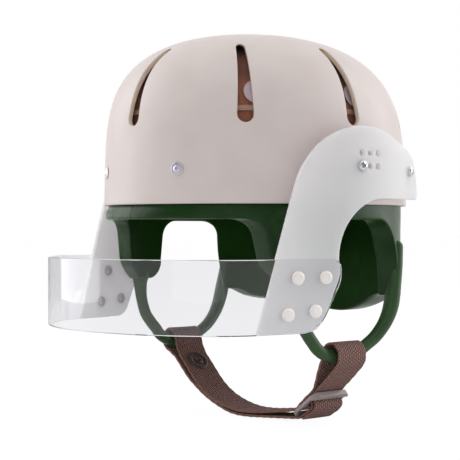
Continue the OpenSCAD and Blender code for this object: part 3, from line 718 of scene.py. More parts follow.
# Millimetres to a degree where the liner is laid flat, and how it leaves the dome at the brow and the nape
UNROLL = 1.75
BROW_WIDE, BROW_LONG = 0.02, 0.025
NAPE_WIDE, NAPE_TUCK, NAPE_SLANT = 0.06, 8.0, 0.075


def ease(t):
    t = np.clip(t, 0, 1)
    return t * t * (3 - 2 * t)


def liner_point(depth, angle, z):
    """Points at a depth in the liner, which swells under the rim and tucks in at the nape."""
    p = dome(IN_FOAM + depth, angle, z)
    x, y, z = p[..., 0], p[..., 1], p[..., 2]
    front = ease(-z / 5) * ease(-y / 20)
    rear = ease(-(z + 4) / 36)
    wide = x * (1 + BROW_WIDE * front + NAPE_WIDE * rear * ease(y / 35))
    long = y * (1 + BROW_LONG * front) - NAPE_TUCK * rear * ease((y - 35) / 60)
    return np.stack([wide, long, z], -1)


def liner_side(share):
    """The liner's lower edge seen from the side as (y, z), brow to nape; share is 0 inside and 1 outside."""
    ear_top = -BROW_DROP - 0.2
    corners = [(-130, -BROW_DROP, 0), (-64.5, -BROW_DROP, 12), (-59, -41, 12), (-46, -TEMPLE_DROP, 2),
               (-21.5, -TEMPLE_DROP, 13), (-16.5, ear_top, 13), (29.5 + 13 * share, ear_top, 13 + 5 * share),
               (38.5 + 8 * share, -REAR_ROOT, 1.5), (52, -REAR_ROOT, 2.5), (60, -64.5, 12), (70, -66, 0),
               (130, 70, 0), (-130, 70, 0)]
    return rounded(corners, 10)[1:-2]


EDGE_COUNTS = np.maximum(1, np.linalg.norm(np.diff(liner_side(0.5), axis=0), axis=1) / 2.2).astype(int)


def liner_edge(depth, lift, front_count=30, back_count=24):
    """Half the lower edge at one depth as (unrolled angle, z), front to back, lifted into the foam."""
    side = liner_side(1 - depth / FOAM)
    fine = [a + (b - a) * k / n for a, b, n in zip(side, side[1:], EDGE_COUNTS) for k in range(n)]
    side = np.array(fine + [side[-1]])
    low, high = np.zeros(len(side)), np.full(len(side), 180.0)
    for _ in range(40):
        test = (low + high) / 2
        short = liner_point(depth, test, side[:, 1])[:, 1] < side[:, 0]
        low, high = np.where(short, test, low), np.where(short, high, test)
    angle = (low + high) / 2
    front = np.linspace(0, angle[0], front_count, endpoint=False)
    back = np.linspace(angle[-1], 180, back_count)[1:]
    back_z = side[-1, 1] - 10.5 * ease((back - angle[-1]) / (180 - angle[-1]))
    line = np.stack([np.concatenate([front, angle, back]) * UNROLL,
                     np.concatenate([np.full(front_count, side[0, 1]), side[:, 1], back_z])], -1)
    before = np.concatenate([[line[1] * [-1, 1]], line[:-1]])
    after = np.concatenate([line[1:], [[360 * UNROLL - line[-2, 0], line[-2, 1]]]])
    return moved_line(line, before, after, lift)


def liner_sheet(depth, lower, upper, cell=4.2):
    """One face of the left half between its lower and upper edges: points and triangles."""
    seam_back = [(180 * UNROLL, z) for z in np.linspace(lower[-1, 1], upper[-1, 1], 28)[1:-1]]
    seam_front = [(0, z) for z in np.linspace(upper[0, 1], lower[0, 1], 14)[1:-1]]
    outline = np.array(list(lower) + seam_back + list(upper[::-1]) + seam_front)
    columns, rows = int(180 * UNROLL / cell), int(130 / cell)
    grid = np.array([((i + 0.5) * cell, LINER_TOP - (j + 0.5 * (i % 2) + 0.5) * cell)
                     for i in range(columns) for j in range(rows)])
    grid = grid[inside(grid, outline) & (distance_to(grid, outline) > 0.45 * cell)]
    flat = np.concatenate([outline, grid])
    triangles = triangulate(flat, [len(outline)])
    triangles = triangles[inside(flat[triangles].mean(axis=1), outline)]
    return liner_point(depth, flat[:, 0] / UNROLL, flat[:, 1]), triangles


def make_liner(lip=1.3):
    """The dipped foam: brow band, temple pieces, ear openings and nape, with crisp but rounded edges."""
    turns = np.radians([90, 68, 45, 22, 0])
    profile = [(lip * (1 - math.cos(a)), lip * (1 - math.sin(a))) for a in turns]
    profile += [(0.0, 4.5), (0.0, 8.2)] + [(lift, FOAM - depth) for lift, depth in profile[::-1]]
    top = np.linspace(0, 180, 100) * UNROLL
    lower_rows = [liner_edge(depth, lift) for lift, depth in profile]
    upper_rows = [np.stack([top, np.full(len(top), LINER_TOP - lift)], -1) for lift, _ in profile]
    points, faces, total = [], [], 0
    for rows in (lower_rows, upper_rows):
        size = len(rows[0])
        for row, (_, depth) in zip(rows, profile):
            points.append(liner_point(depth, row[:, 0] / UNROLL, row[:, 1]))
        faces += row_faces(len(rows), size, total, closed=False)
        total += size * len(rows)
    for n in (0, -1):
        inner_from = len(faces)
        sheet, triangles = liner_sheet(profile[n][1], lower_rows[n], upper_rows[n])
        faces += [tuple(t + total) for t in triangles]
        points.append(sheet)
        total += len(sheet)
    points = np.concatenate(points)
    half = len(faces)
    faces += [tuple(n + total for n in face[::-1]) for face in faces]
    points = np.concatenate([points, points * [-1, 1, 1]])
    behind = ease((points[:, 1] - 35) / 45) * ease(-points[:, 2] / 70)
    points[:, 2] += NAPE_SLANT * np.clip(points[:, 0], -60, 60) * behind
    liner = shade(turn_out(mesh_object("foam_liner_skin", points, faces, dipped_vinyl)))
    liner.data.materials.append(dull_vinyl)
    inner_faces = [int(k % half >= inner_from) for k in range(2 * half)]
    liner.data.polygons.foreach_set("material_index", inner_faces)
    fit_piece(liner, "helmet", "foam_liner")


# Ear loop of the wearer's left as (x, y, z, radius), from inside the temple piece round to the ear's rear
LOOP_POINTS = [(84, -39, -42, 5.0), (84, -39.4, -50, 6.2), (83.8, -39.6, -56, 4.9), (83.5, -38.8, -66, 4.1),
               (83.3, -35.5, -77, 4.1), (83.2, -30.5, -84, 4.1), (83, -26, -89, 4.1), (83.4, -21.4, -94, 4.1),
               (84, -14, -98, 4.1), (85.2, -2, -100, 4.1), (86, 9, -98.8, 4.1), (86.5, 20, -93, 4.1),
               (87.2, 28, -88, 4.3), (88, 35, -81, 4.6), (88.6, 39.5, -74, 5.0), (88.8, 42.3, -67, 5.3),
               (88.6, 44, -60, 5.3), (88.5, 46, -51, 4.8), (87.8, 48.2, -40, 4.6), (86.8, 50, -28, 4.4)]


def catmull(points, steps):
    """A smooth line through the points; each step is shared evenly between its neighbours."""
    points = np.asarray(points, float)
    padded = np.concatenate([[2 * points[0] - points[1]], points, [2 * points[-1] - points[-2]]])
    out = []
    for a, b, c, d in zip(padded, padded[1:], padded[2:], padded[3:]):
        for t in np.arange(steps) / steps:
            out.append(0.5 * (2 * b + (c - a) * t + (2 * a - 5 * b + 4 * c - d) * t * t
                              + (3 * b - a - 3 * c + d) * t ** 3))
    return np.array(out + [points[-1]])


def round_tube(name, route, material, sides=28):
    """A round tube along (x, y, z, radius), closed by domed ends."""
    centre, radius = route[:, :3], route[:, 3]
    ahead, behind = unit(centre[-1] - centre[-2]), unit(centre[0] - centre[1])
    steps = np.radians([15, 35, 55, 75])[:, None]
    head = centre[0] + behind * radius[0] * np.sin(steps[::-1])
    tail = centre[-1] + ahead * radius[-1] * np.sin(steps)
    centre = np.concatenate([head, centre, tail])
    radius = np.concatenate([radius[0] * np.cos(steps[::-1, 0]), radius, radius[-1] * np.cos(steps[:, 0])])
    tangent = unit(np.gradient(centre, axis=0))
    first = unit(np.cross(tangent, [1.0, 0, 0]))
    second = np.cross(tangent, first)
    a = np.arange(sides) * 2 * math.pi / sides
    around = np.cos(a)[None, :, None] * first[:, None] + np.sin(a)[None, :, None] * second[:, None]
    rings = centre[:, None] + radius[:, None, None] * around
    last = (len(centre) - 1) * sides
    ends = [tuple(range(sides))[::-1], tuple(range(last, last + sides))]
    return turn_out(mesh_object(name, rings.reshape(-1, 3), row_faces(len(centre), sides) + ends, material))


def make_ear_loop(side, name, node):
    route = catmull(LOOP_POINTS, 8) * [side, 1, 1, 1]
    fit_piece(shade(round_tube(name, route, loop_vinyl_painted_sheen)), "helmet", node)


# The crown

CROWN_COUNT = 320
CROWN_STEPS = np.arange(CROWN_COUNT) * 360 / CROWN_COUNT


def crown_ring(depth, z):
    return dome(depth, CROWN_STEPS, np.full(CROWN_COUNT, z))


def make_crown_pad(rows=40):
    """The padded cap: eight puffed gores between sewn channels, with a rolled lower edge."""
    off = np.radians(np.abs(CROWN_STEPS % SLOT_STEP - SLOT_STEP / 2))
    base, roll = LINER_TOP + 0.3, PAD_T / 2
    outer_top, inner_top = SHELL_H - IN_CROWN, SHELL_H - IN_CROWN - PAD_T

    def channel(z, width):
        """How deep each place of a ring lies in a sewn channel, from 0 to 1."""
        reach = (SHELL_W / 2 - IN_CROWN) * dome_scale(np.full(CROWN_COUNT, z / (SHELL_H - IN_CROWN))) * off
        return np.exp(-((reach / width) ** 2))

    def heights(top):
        return base + roll + (top - base - roll) * np.sin(np.linspace(math.pi / 2, 0, rows))[1:]

    rings = [crown_ring(IN_CROWN + 1.6 * channel(z, 2.2), z) for z in heights(outer_top - 0.02)]
    for a in np.linspace(0, math.pi, 11)[1:-1]:
        rings.append(crown_ring(IN_CROWN + roll * (1 - math.cos(a)), base + roll * (1 - math.sin(a))))
    for z in heights(inner_top - 0.02)[::-1]:
        puff = 2.2 * channel(z, 4.0) - 1.0 * (1 - channel(z, 14.0))
        rings.append(crown_ring(IN_CROWN + PAD_T - puff, z))
    tips = [dome(IN_CROWN, [0], [outer_top]), dome(IN_CROWN + PAD_T, [0], [inner_top])]
    points = np.concatenate(rings + tips)
    top, under = len(points) - 2, len(points) - 1
    last = (len(rings) - 1) * CROWN_COUNT
    faces = row_faces(len(rings), CROWN_COUNT)
    faces += [(top, (k + 1) % CROWN_COUNT, k) for k in range(CROWN_COUNT)]
    faces += [(last + k, last + (k + 1) % CROWN_COUNT, under) for k in range(CROWN_COUNT)]
    pad = turn_out(mesh_object("crown_padding", points, faces, padded_cloth, sharp=0))
    fit_piece(pad, "helmet", "crown_pad")


def make_crown_tape():
    """Tape sewn round the crown pad."""
    low, high = SLOT_LOW + 8, SLOT_LOW + 11.5
    section = [(1.25, low + 0.2), (1.3, low + 0.6), (1.3, high - 0.6), (1.25, high - 0.2), (1.0, high),
               (0.4, high - 0.1), (0.3, high - 0.5), (0.3, low + 0.5), (0.4, low + 0.1), (1.0, low)]
    rings = [crown_ring(IN_CROWN - above, z) for above, z in section]
    last = (len(rings) - 1) * CROWN_COUNT
    faces = row_faces(len(rings), CROWN_COUNT) + ring_faces(last, 0, CROWN_COUNT)
    tape = turn_out(mesh_object("crown_tape", np.concatenate(rings), faces, tan_tape))
    fit_piece(tape, "helmet", "crown_band")


# Sheets bent along a plan line: the brackets and the face bar

HOLE_LIP = 0.25


class PlanLine:
    """A line in plan that a bent sheet follows, measured from its first point."""

    def __init__(self, points):
        self.points = np.asarray(points, float)
        steps = np.linalg.norm(np.diff(self.points, axis=0), axis=1)
        self.run = np.concatenate([[0], np.cumsum(steps)])
        tangent = unit(np.gradient(self.points, self.run, axis=0))
        self.out = np.stack([tangent[:, 1], -tangent[:, 0]], -1)

    def at(self, run, off):
        place, out = (np.stack([np.interp(run, self.run, values[:, i]) for i in (0, 1)], -1)
                      for values in (self.points, self.out))
        return place + unit(out) * off

    def run_at(self, y):
        """The run to a height in plan, on a line that goes steadily in y."""
        return np.interp(np.asarray(y, float), self.points[:, 1], self.run)


def inset_outline(outline, amount):
    """A closed outline moved to its left: inwards if it runs anticlockwise, and else outwards."""
    return moved_line(outline, np.roll(outline, 1, axis=0), np.roll(outline, -1, axis=0), amount)


def area_of(outline):
    x, y = outline[:, 0], outline[:, 1]
    return 0.5 * float(np.sum(x * np.roll(y, -1) - y * np.roll(x, -1)))


def densify(outline, step=2.5):
    """A closed outline with points no farther apart than about a step."""
    out = []
    for a, b in zip(outline, np.roll(outline, -1, axis=0)):
        count = max(1, int(np.linalg.norm(b - a) / step))
        out += [a + (b - a) * k / count for k in range(count)]
    return np.array(out)


def lip_profile(lip):
    """The rounded edge of a sheet, as (inwards from the outline, off the middle plane)."""
    half = SHEET_T / 2
    profile = [(lip, half), (lip * 0.6, half - 0.06), (lip * 0.25, half - lip * 0.28 - 0.02),
               (lip * 0.04, half - lip * 0.65 - 0.03), (0.0, half - lip * 1.1 - 0.04)]
    return profile + [(inward, -off) for inward, off in profile[::-1]]


def bent_sheet(name, line, outline, holes, material, lip=0.7, cell=4.0):
    """A blank (run, height) with holes (run, height, radius) and rounded edges, bent along a plan line."""
    outline = outline[::-1] if area_of(outline) < 0 else outline
    turns = -np.linspace(0, 2 * math.pi, 28, endpoint=False)
    loops = [outline] + [np.stack([x + r * np.cos(turns), z + r * np.sin(turns)], -1) for x, z, r in holes]
    lips = [lip] + [HOLE_LIP] * len(holes)
    rings, faces, upper, lower, total = [], [], [], [], 0
    for loop, edge_lip in zip(loops, lips):
        profile = lip_profile(edge_lip)
        rings += [(inset_outline(loop, inward), off) for inward, off in profile]
        faces += row_faces(len(profile), len(loop), total)
        upper += range(total, total + len(loop))
        total += len(profile) * len(loop)
        lower += range(total - len(loop), total)
    edges = [inset_outline(loop, edge_lip) for loop, edge_lip in zip(loops, lips)]
    low, high = edges[0].min(axis=0), edges[0].max(axis=0)
    columns, rows = (int(span / cell) + 2 for span in high - low)
    grid = np.array([(low[0] + (i + 0.5) * cell, low[1] + (j + 0.5 * (i % 2)) * cell)
                     for i in range(columns) for j in range(rows)])
    keep = inside(grid, edges[0]) & (distance_to(grid, edges[0]) > 0.35 * cell)
    for x, z, r in holes:
        keep &= np.linalg.norm(grid - [x, z], axis=1) > r + HOLE_LIP + 0.8
    grid = grid[keep]
    flat = np.concatenate(edges + [grid])
    triangles = triangulate(flat, [len(loop) for loop in loops])
    middle = flat[triangles].mean(axis=1)
    keep = inside(middle, edges[0])
    for x, z, r in holes:
        keep &= np.linalg.norm(middle - [x, z], axis=1) > (r + HOLE_LIP) * 0.98
    upper = np.array(upper + list(range(total, total + len(grid))))
    lower = np.array(lower + list(range(total + len(grid), total + 2 * len(grid))))
    faces += [tuple(upper[t]) for t in triangles[keep]] + [tuple(lower[t][::-1]) for t in triangles[keep]]
    rings += [(grid, SHEET_T / 2), (grid, -SHEET_T / 2)]
    points = [np.concatenate([line.at(ring[:, 0], off), ring[:, 1:2]], axis=1) for ring, off in rings]
    return turn_out(mesh_object(name, np.concatenate(points), faces, material, sharp=40))


OFF_W = SHELL_W / 2 + SPACER + SHEET_T / 2 + SIDE_LIFT
OFF_L = SHELL_L / 2 + SPACER + SHEET_T / 2 - REAR_TUCK
TANGENT_Q = SPLAY * OFF_L / OFF_W / math.sqrt(1 + (SPLAY * OFF_L / OFF_W) ** 2)
TANGENT_X, TANGENT_Y = OFF_W * math.sqrt(1 - TANGENT_Q ** 2), -OFF_L * TANGENT_Q
ARM_ANGLE = math.atan(SPLAY)
ARM_WAY = np.array([math.sin(ARM_ANGLE), math.cos(ARM_ANGLE)])
ARM_OUT = np.array([math.cos(ARM_ANGLE), -math.sin(ARM_ANGLE)])
BAR_RIVETS = [(-59.0, -46.2), (-38.3, -46.2), (-66.2, -68.7), (-46.0, -67.0)]
SCREW_Y, SCREW_Z = -7.2, 24.4
REAR_SCREW_ANGLE, REAR_SCREW_Z = math.radians(115), 22.5
GRID_PITCH_Y, GRID_PITCH_Z, GRID_HOLE_R, RIVET_HOLE_R = 7.3, 8.5, 2.2, 2.1


def arm_x(y):
    return TANGENT_X + SPLAY * (y - TANGENT_Y)


def make_bracket(side, name, node):
    """A side bracket: it follows the rim outside the shell and runs straight to the bar."""
    arc = np.linspace(math.acos(TANGENT_Q), math.radians(142), 90)
    plan = [(arm_x(y), y) for y in np.linspace(BRACKET_FRONT - 6, TANGENT_Y, 40)[:-1]]
    plan += [(OFF_W * math.sin(a), -OFF_L * math.cos(a)) for a in arc]
    line = PlanLine(np.array(plan) * [side, 1])
    top_y = BRACKET_FRONT + ARM_LEAN * (BRACKET_DROP + BRACKET_TOP)
    corners = [(BRACKET_FRONT, -BRACKET_DROP, 0.8), (top_y, BRACKET_TOP, 56), (7, BRACKET_TOP, 60),
               (55, 33, 30), (76, 4, 6), (-24.7, 3.2, 38), (BAR_END_Y + 0.4, -46, 20),
               (BAR_END_Y - 15, -BRACKET_DROP, 12)]
    outline = densify(rounded(corners, 14))
    outline[:, 0] = line.run_at(outline[:, 0])
    holes = [(float(line.run_at(SCREW_Y + GRID_PITCH_Y * i)), SCREW_Z + GRID_PITCH_Z * j, GRID_HOLE_R)
             for i in range(3) for j in range(2) if i + j]
    bracket = bent_sheet(name, line, outline, holes, milky_sheet)
    fit_piece(bracket, "helmet", node)


def bar_plan():
    """The bar's line in plan, from the wearer's right arm round the chin to the end of the left arm."""
    bend = np.array([arm_x(BAR_BEND_Y), BAR_BEND_Y]) + ARM_OUT * (SHEET_T + 0.05)
    ahead, corner = bend - 35 * ARM_WAY, np.array([BAR_FULLNESS, -BAR_REACH])
    front = np.array([0.0, -BAR_REACH])
    t = np.linspace(0, 1, 120)[:, None]
    curve = (1 - t) ** 3 * bend + 3 * (1 - t) ** 2 * t * ahead + 3 * (1 - t) * t * t * corner + t ** 3 * front
    straight = bend + np.linspace(70, 0, 40)[:-1, None] * ARM_WAY
    left = np.concatenate([straight, curve])
    return np.concatenate([left * [-1, 1], left[::-1][1:]])


def make_face_bar():
    """The clear bar: a flat blank with rounded rear ends, bent round the lower face."""
    line = PlanLine(bar_plan())
    total = line.run[-1]

    def run_left(y):
        """Run to a place on the wearer's left arm, whose rear end is the line's end."""
        return total - (line.points[-1, 1] - y) / math.cos(ARM_ANGLE)

    top = BAR_H - BAR_DROP
    corners = [(-70, top, 0), (BAR_END_Y, top, 6.4), (BAR_END_Y - 0.4, -48.9, 18.4), (-43.5, -BAR_DROP, 22),
               (-70, -BAR_DROP, 0)]
    rear = rounded(corners, 14)[1:-1]
    left = np.array([(run_left(y), z) for y, z in rear])
    right = np.array([(total - run, z) for run, z in left])[::-1]
    holes = [(run, z, RIVET_HOLE_R) for y, z in BAR_RIVETS for run in (run_left(y), total - run_left(y))]
    outline = densify(np.concatenate([left, right]), 3.0)
    bar = bent_sheet("clear_face_bar", line, outline, holes, clear_plastic, lip=0.5)
    fit_piece(bar, "helmet", "face_bar")


# Fasteners: one turned shape on every place, through a node tree


def turned(profile, sides=40):
    """A solid of revolution about Z from (radius, height), closed on the axis or as a ring."""
    points, faces, rings = [], [], []
    for radius, height in profile:
        count = 1 if radius < 1e-6 else sides
        rings.append(range(len(points), len(points) + count))
        points += [(radius * math.cos(a), radius * math.sin(a), height)
                   for a in np.linspace(0, 2 * math.pi, count, endpoint=False)]
    if len(rings[0]) > 1:
        rings.append(rings[0])
    for first, second in zip(rings, rings[1:]):
        for k in range(sides):
            loop = [first[k % len(first)], first[(k + 1) % len(first)], second[(k + 1) % len(second)],
                    second[k % len(second)]]
            faces.append([n for i, n in enumerate(loop) if n not in loop[:i]])
    return points, faces


def turned_item(profile, sides=40):
    return turn_out(mesh_object("item", *turned(profile, sides), rivet_nickel))


def prism(name, outline, low, high, material):
    """An upright block on an outline."""
    count = len(outline)
    points = [(x, y, z) for z in (low, high) for x, y in outline]
    faces = ring_faces(0, count, count) + [tuple(range(count))[::-1], tuple(range(count, 2 * count))]
    return turn_out(mesh_object(name, points, faces, material))


def scatter_tree():
    """Sets one item on each point, its Z along the point's own axis."""
    tree = bpy.data.node_groups.new("set_on_places", "GeometryNodeTree")
    kinds = {"Places": "Geometry", "Item": "Object", "Size": "Float", "Finish": "Material"}
    for label, kind in kinds.items():
        tree.interface.new_socket(label, in_out="INPUT", socket_type="NodeSocket" + kind)
    tree.interface.new_socket("Set", in_out="OUTPUT", socket_type="NodeSocketGeometry")
    given = tree.nodes.new("NodeGroupInput").outputs
    result = tree.nodes.new("NodeGroupOutput").inputs
    axis = add(tree, "GeometryNodeInputNamedAttribute", {"Name": "axis"}, data_type="FLOAT_VECTOR")
    spin = add(tree, "GeometryNodeInputNamedAttribute", {"Name": "spin"}, data_type="FLOAT")
    aim = add(tree, "FunctionNodeAlignRotationToVector", {"Vector": axis.outputs[0]}, axis="Z")
    roll = add(tree, "FunctionNodeAxisAngleToRotation", {"Axis": (0, 0, 1), "Angle": spin.outputs[0]})
    turn = add(tree, "FunctionNodeRotateRotation", {"Rotation": aim.outputs[0], "Rotate By": roll.outputs[0]},
               rotation_space="LOCAL")
    item = add(tree, "GeometryNodeObjectInfo", {"Object": given["Item"]})
    put = add(tree, "GeometryNodeInstanceOnPoints", {
        "Points": given["Places"], "Instance": item.outputs["Geometry"], "Rotation": turn.outputs[0],
        "Scale": given["Size"]})
    real = add(tree, "GeometryNodeRealizeInstances", {0: put.outputs[0]})
    finish = add(tree, "GeometryNodeSetMaterial", {"Geometry": real.outputs[0], "Material": given["Finish"]})
    plug(tree, result[0], finish.outputs[0])
    return tree


place_items = scatter_tree()


def set_on_places(name, item, places, material, node, sharp=35.0):
    """One mesh of an item on all its places, each (point, axis, spin). The item itself goes."""
    mesh = bpy.data.meshes.new(name)
    mesh.from_pydata([(np.asarray(point) * MM).tolist() for point, _, _ in places], [], [])
    axes = mesh.attributes.new("axis", "FLOAT_VECTOR", "POINT")
    axes.data.foreach_set("vector", np.array([axis for _, axis, _ in places], np.float32).ravel())
    spins = mesh.attributes.new("spin", "FLOAT", "POINT")
    spins.data.foreach_set("value", np.array([spin for _, _, spin in places], np.float32))
    obj = new_object(name, mesh)
    step = obj.modifiers.new("places", "NODES")
    step.node_group = place_items
    values = {"Item": item, "Size": 1.0, "Finish": material}
    for socket in place_items.interface.items_tree:
        if socket.name in values:
            step[socket.identifier] = values[socket.name]
    apply_modifiers(obj)
    bpy.data.objects.remove(item, do_unlink=True)
    fit_piece(shade(obj, sharp), "helmet", node)


def shell_place(angle, off=0.0):
    """A shell rivet's place, off the shell's face, and the way out from it."""
    out = level_out(angle)
    return dome(0, angle, RIVET_Z) + off * out, out


def bar_places(off):
    """The bar rivets' places at a distance from the brackets' outer faces."""
    out = np.array([*ARM_OUT, 0])
    return [((np.array([arm_x(y), y, z]) + out * (SHEET_T / 2 + off)) * [side, 1, 1], out * [side, 1, 1], 0.0)
            for side in (1, -1) for y, z in BAR_RIVETS]


def screw_places():
    """The bracket screws' places, from the brackets' inner faces."""
    places = []
    front, rear = (math.acos(-SCREW_Y / OFF_L), SCREW_Z, 0.45), (REAR_SCREW_ANGLE, REAR_SCREW_Z, 0.9)
    for angle, z, spin in (front, rear):
        out = unit(np.array([math.sin(angle) / OFF_W, -math.cos(angle) / OFF_L, 0]))
        point = np.array([OFF_W * math.sin(angle), -OFF_L * math.cos(angle), z]) - out * SHEET_T / 2
        places += [(point * [side, 1, 1], out * [side, 1, 1], spin + side * 0.2) for side in (1, -1)]
    return places


def make_shell_rivets():
    """Rivets with stepped heads on the shell, and their washers inside on the liner."""
    end = IN_FOAM + FOAM + 1.9
    rivet = turned_item([(0, -end), (1.7, -end), (2, -end + 0.4), (2, 0.1), (3.9, 0.1), (4.2, 0.2),
                         (4.3, 0.42), (4.15, 0.7), (3.7, 0.9), (3.1, 0.92), (2.6, 0.9), (2.25, 1.0),
                         (1.95, 1.25), (1.5, 1.45), (0.8, 1.55), (0, 1.58)])
    places = [(*shell_place(angle), 0.01 * angle) for angle in RIVET_ANGLES]
    set_on_places("shell_rivet_set", rivet, places, rivet_nickel, "shell_rivets")
    washer = turned_item([(2.15, -0.5), (4.6, -0.5), (4.95, -0.3), (5, 0), (4.95, 0.35), (4.6, 0.5),
                          (2.4, 0.5), (2.15, 0.3)])
    places = [(*shell_place(angle, 0.6 - end), 0.0) for angle in RIVET_ANGLES]
    set_on_places("liner_washer_set", washer, places, rivet_nickel, "rivet_washers")


def make_bar_rivets():
    """Ivory rivets through bar and brackets, with bright tips and milky washers behind."""
    ivory = turned_item([(0, -4.3), (1.7, -4.3), (2, -4.0), (2, 3.05), (3.95, 3.05), (4.15, 3.2), (4.2, 3.5),
                         (4.2, 4.5), (4.1, 4.95), (3.8, 5.3), (3.2, 5.5), (2.2, 5.6), (0, 5.65)])
    set_on_places("bar_rivet_set", ivory, bar_places(0.0), ivory_plastic, "bar_rivets")
    tip = turned_item([(0, -4.75), (0.7, -4.7), (1.15, -4.5), (1.3, -4.2), (0, -4.1)], 24)
    set_on_places("bar_rivet_tip_set", tip, bar_places(0.0), rivet_nickel, "bar_rivets")
    washer = turned_item([(2.15, -0.6), (3.5, -0.6), (3.8, -0.45), (3.9, -0.1), (3.85, 0.3), (3.6, 0.5),
                          (3.1, 0.6), (2.4, 0.55), (2.15, 0.35)])
    places = bar_places(-SHEET_T - 0.65)
    set_on_places("bar_washer_set", washer, places, washer_milk, "bar_rivet_washers")


def make_bracket_screws():
    """Pan heads with a cross recess, and a dark star on the floor of the recess as painted shade."""
    screw = turned_item([(0, -16), (1.6, -16), (2, -15.5), (2, 3.05), (3.2, 3.05), (3.38, 3.2), (3.4, 3.9),
                         (3.2, 4.5), (2.8, 5.0), (2.1, 5.35), (1.1, 5.52), (0, 5.55)])
    long, wide = 4.4, 0.8
    for x, y in ((long / 2, wide / 2), (wide / 2, long / 2)):
        outline = [(-x, -y), (x, -y), (x, y), (-x, y)]
        cut_away(screw, prism("cross_cutter", outline, 4.1, 7.0, screw_steel))
    places = screw_places()
    set_on_places("bracket_screw_set", screw, places, screw_steel, "bracket_screws", sharp=30)
    arm, star = [(2.3, 0.55), (0.55, 0.55), (0.55, 2.3)], []
    for _ in range(4):
        star += arm
        arm = [(-y, x) for x, y in arm]
    # A dark star on the recess floor: painted shade where the recess lies in shadow
    recess = prism("item", star, 3.9, 4.6, recess_painted_shade)
    set_on_places("screw_recess_set", recess, places, recess_painted_shade, "bracket_screws", sharp=30)


def make_crown_discs():
    """Pile discs on the crown pad, which lean with it."""
    disc = turned_item([(0, 0), (7.7, 0), (8.1, 0.2), (8.25, 0.6), (8.1, 1.0), (7.6, 1.2), (0, 1.25)], 48)
    places = []
    for k in range(SLOTS):
        angle = SLOT_STEP * k + 7
        low, high = (np.linalg.norm(dome(IN_CROWN, angle, SLOT_LOW + up)[:2]) for up in (15, 25))
        lean = math.atan2(low - high, 10)
        axis = level_out(angle, IN_CROWN) * math.cos(lean) + np.array([0, 0, math.sin(lean)])
        places.append((dome(IN_CROWN, angle, SLOT_LOW + 20) + axis * 0.8, axis, 0.0))
    set_on_places("pile_disc_set", disc, places, pale_pile, "crown_discs")


# The chin strap

SLIDE_X, SLIDE_Z = 62.5, -132.5
SLIDE_TILT = math.radians(36.87)


def on_slide(*places):
    """Places (along, off) on the slide's middle plane, as (x, z)."""
    c, s = math.cos(SLIDE_TILT), math.sin(SLIDE_TILT)
    return [(SLIDE_X + along * c - off * s, SLIDE_Z + along * s + off * c) for along, off in places]


FOLD = on_slide((2, -2.2), (-2.2, -2.2), (-3.4, 0), (-2.2, 2.3), (2.2, 2.3), (4.4, 1), (4.8, -2), (3.2, -4.2),
                (-3, -4.3), (-8, -3.5), (-12, -2.9))
LOWER = [(44, -142.9), (30, -144), (16, -145.1), (4, -146), (-8, -146.2), (-18, -145), (-28, -142.1),
         (-38, -138.6), (-47, -134.4), (-54.4, -129.9), (-62.2, -125.2), (-71.6, -116.4)]
RIGHT_TURN = [(-77.9, -110.5), (-85, -106.8), (-90.9, -104), (-92.8, -98), (-90.6, -92.2), (-85.6, -89.8),
              (-80.8, -91.2), (-78.4, -95.5), (-77.4, -99.5), (-75.6, -104.2)]
UPPER = [(-72.4, -109.3), (-66.8, -114.4), (-61.5, -119.6), (-53.5, -127.4), (-45.5, -133), (-37.5, -137),
         (-28, -140.2), (-18, -142.4), (-8, -143.6), (4, -143.4), (16, -142.3), (28, -140.7), (40, -138.8),
         (48, -137.6)]
LEFT_TURN = [*on_slide((-11.3, 2.9), (-5, 3.8), (4, 4.4), (11.3, 4.2)), (71.6, -114.5), (74.2, -106.5),
             (77.2, -100.5), (78, -95), (80.8, -91.2), (85.6, -89.8), (90.6, -92.2), (92.8, -98),
             (91.4, -104.3), (85.5, -109.8), (78.5, -116.3), *on_slide((14.5, 3), (11.3, 2.3))]
TAIL = on_slide((8.4, 2.3), (7.6, -2), (7, -4.8), (4.5, -6.4), (-2, -6.2), (-9, -5.2))
BAND = np.array(FOLD + LOWER + RIGHT_TURN + UPPER + LEFT_TURN + TAIL)


def smooth_line(points, passes=4):
    """Corner cutting, as in the part's source."""
    points = np.asarray(points, float)
    for _ in range(passes):
        cut = np.empty((2 * len(points) - 2, 2))
        cut[0::2] = 0.75 * points[:-1] + 0.25 * points[1:]
        cut[1::2] = 0.25 * points[:-1] + 0.75 * points[1:]
        points = np.concatenate([points[:1], cut, points[-1:]])
    return points


def band_slice(first, last):
    """The band's line from control point first to last, cut half way to its neighbours."""
    points = list(BAND[first:last + 1])
    if first:
        points.insert(0, (BAND[first - 1] + BAND[first]) / 2)
    if last < len(BAND) - 1:
        points.append((BAND[last] + BAND[last + 1]) / 2)
    return smooth_line(points)


def evenly(points, step=1.0):
    """A line with even steps of about this length, and the run to each of its points."""
    run = np.concatenate([[0], np.cumsum(np.linalg.norm(np.diff(points, axis=0), axis=1))])
    at = np.linspace(0, run[-1], max(3, int(round(run[-1] / step)) + 1))
    return np.stack([np.interp(at, run, points[:, i]) for i in (0, 1)], -1), at


def strap_section():
    """Outline of the webbing's section as (across, off), with soft edges and a firm selvedge."""
    half, t = WEB_W / 2, WEB_T / 2
    top = [(s * (half - 0.5), t * (1.0 if abs(s) < 0.93 else 1.04)) for s in np.linspace(-1, 1, 25)]
    right = [(half - 0.2, t * 0.85), (half, t * 0.35), (half, -t * 0.35), (half - 0.2, -t * 0.85)]
    low = [(x, -y) for x, y in top[::-1]]
    left = [(-x, -y) for x, y in right]
    return np.array(top + right + low + left)


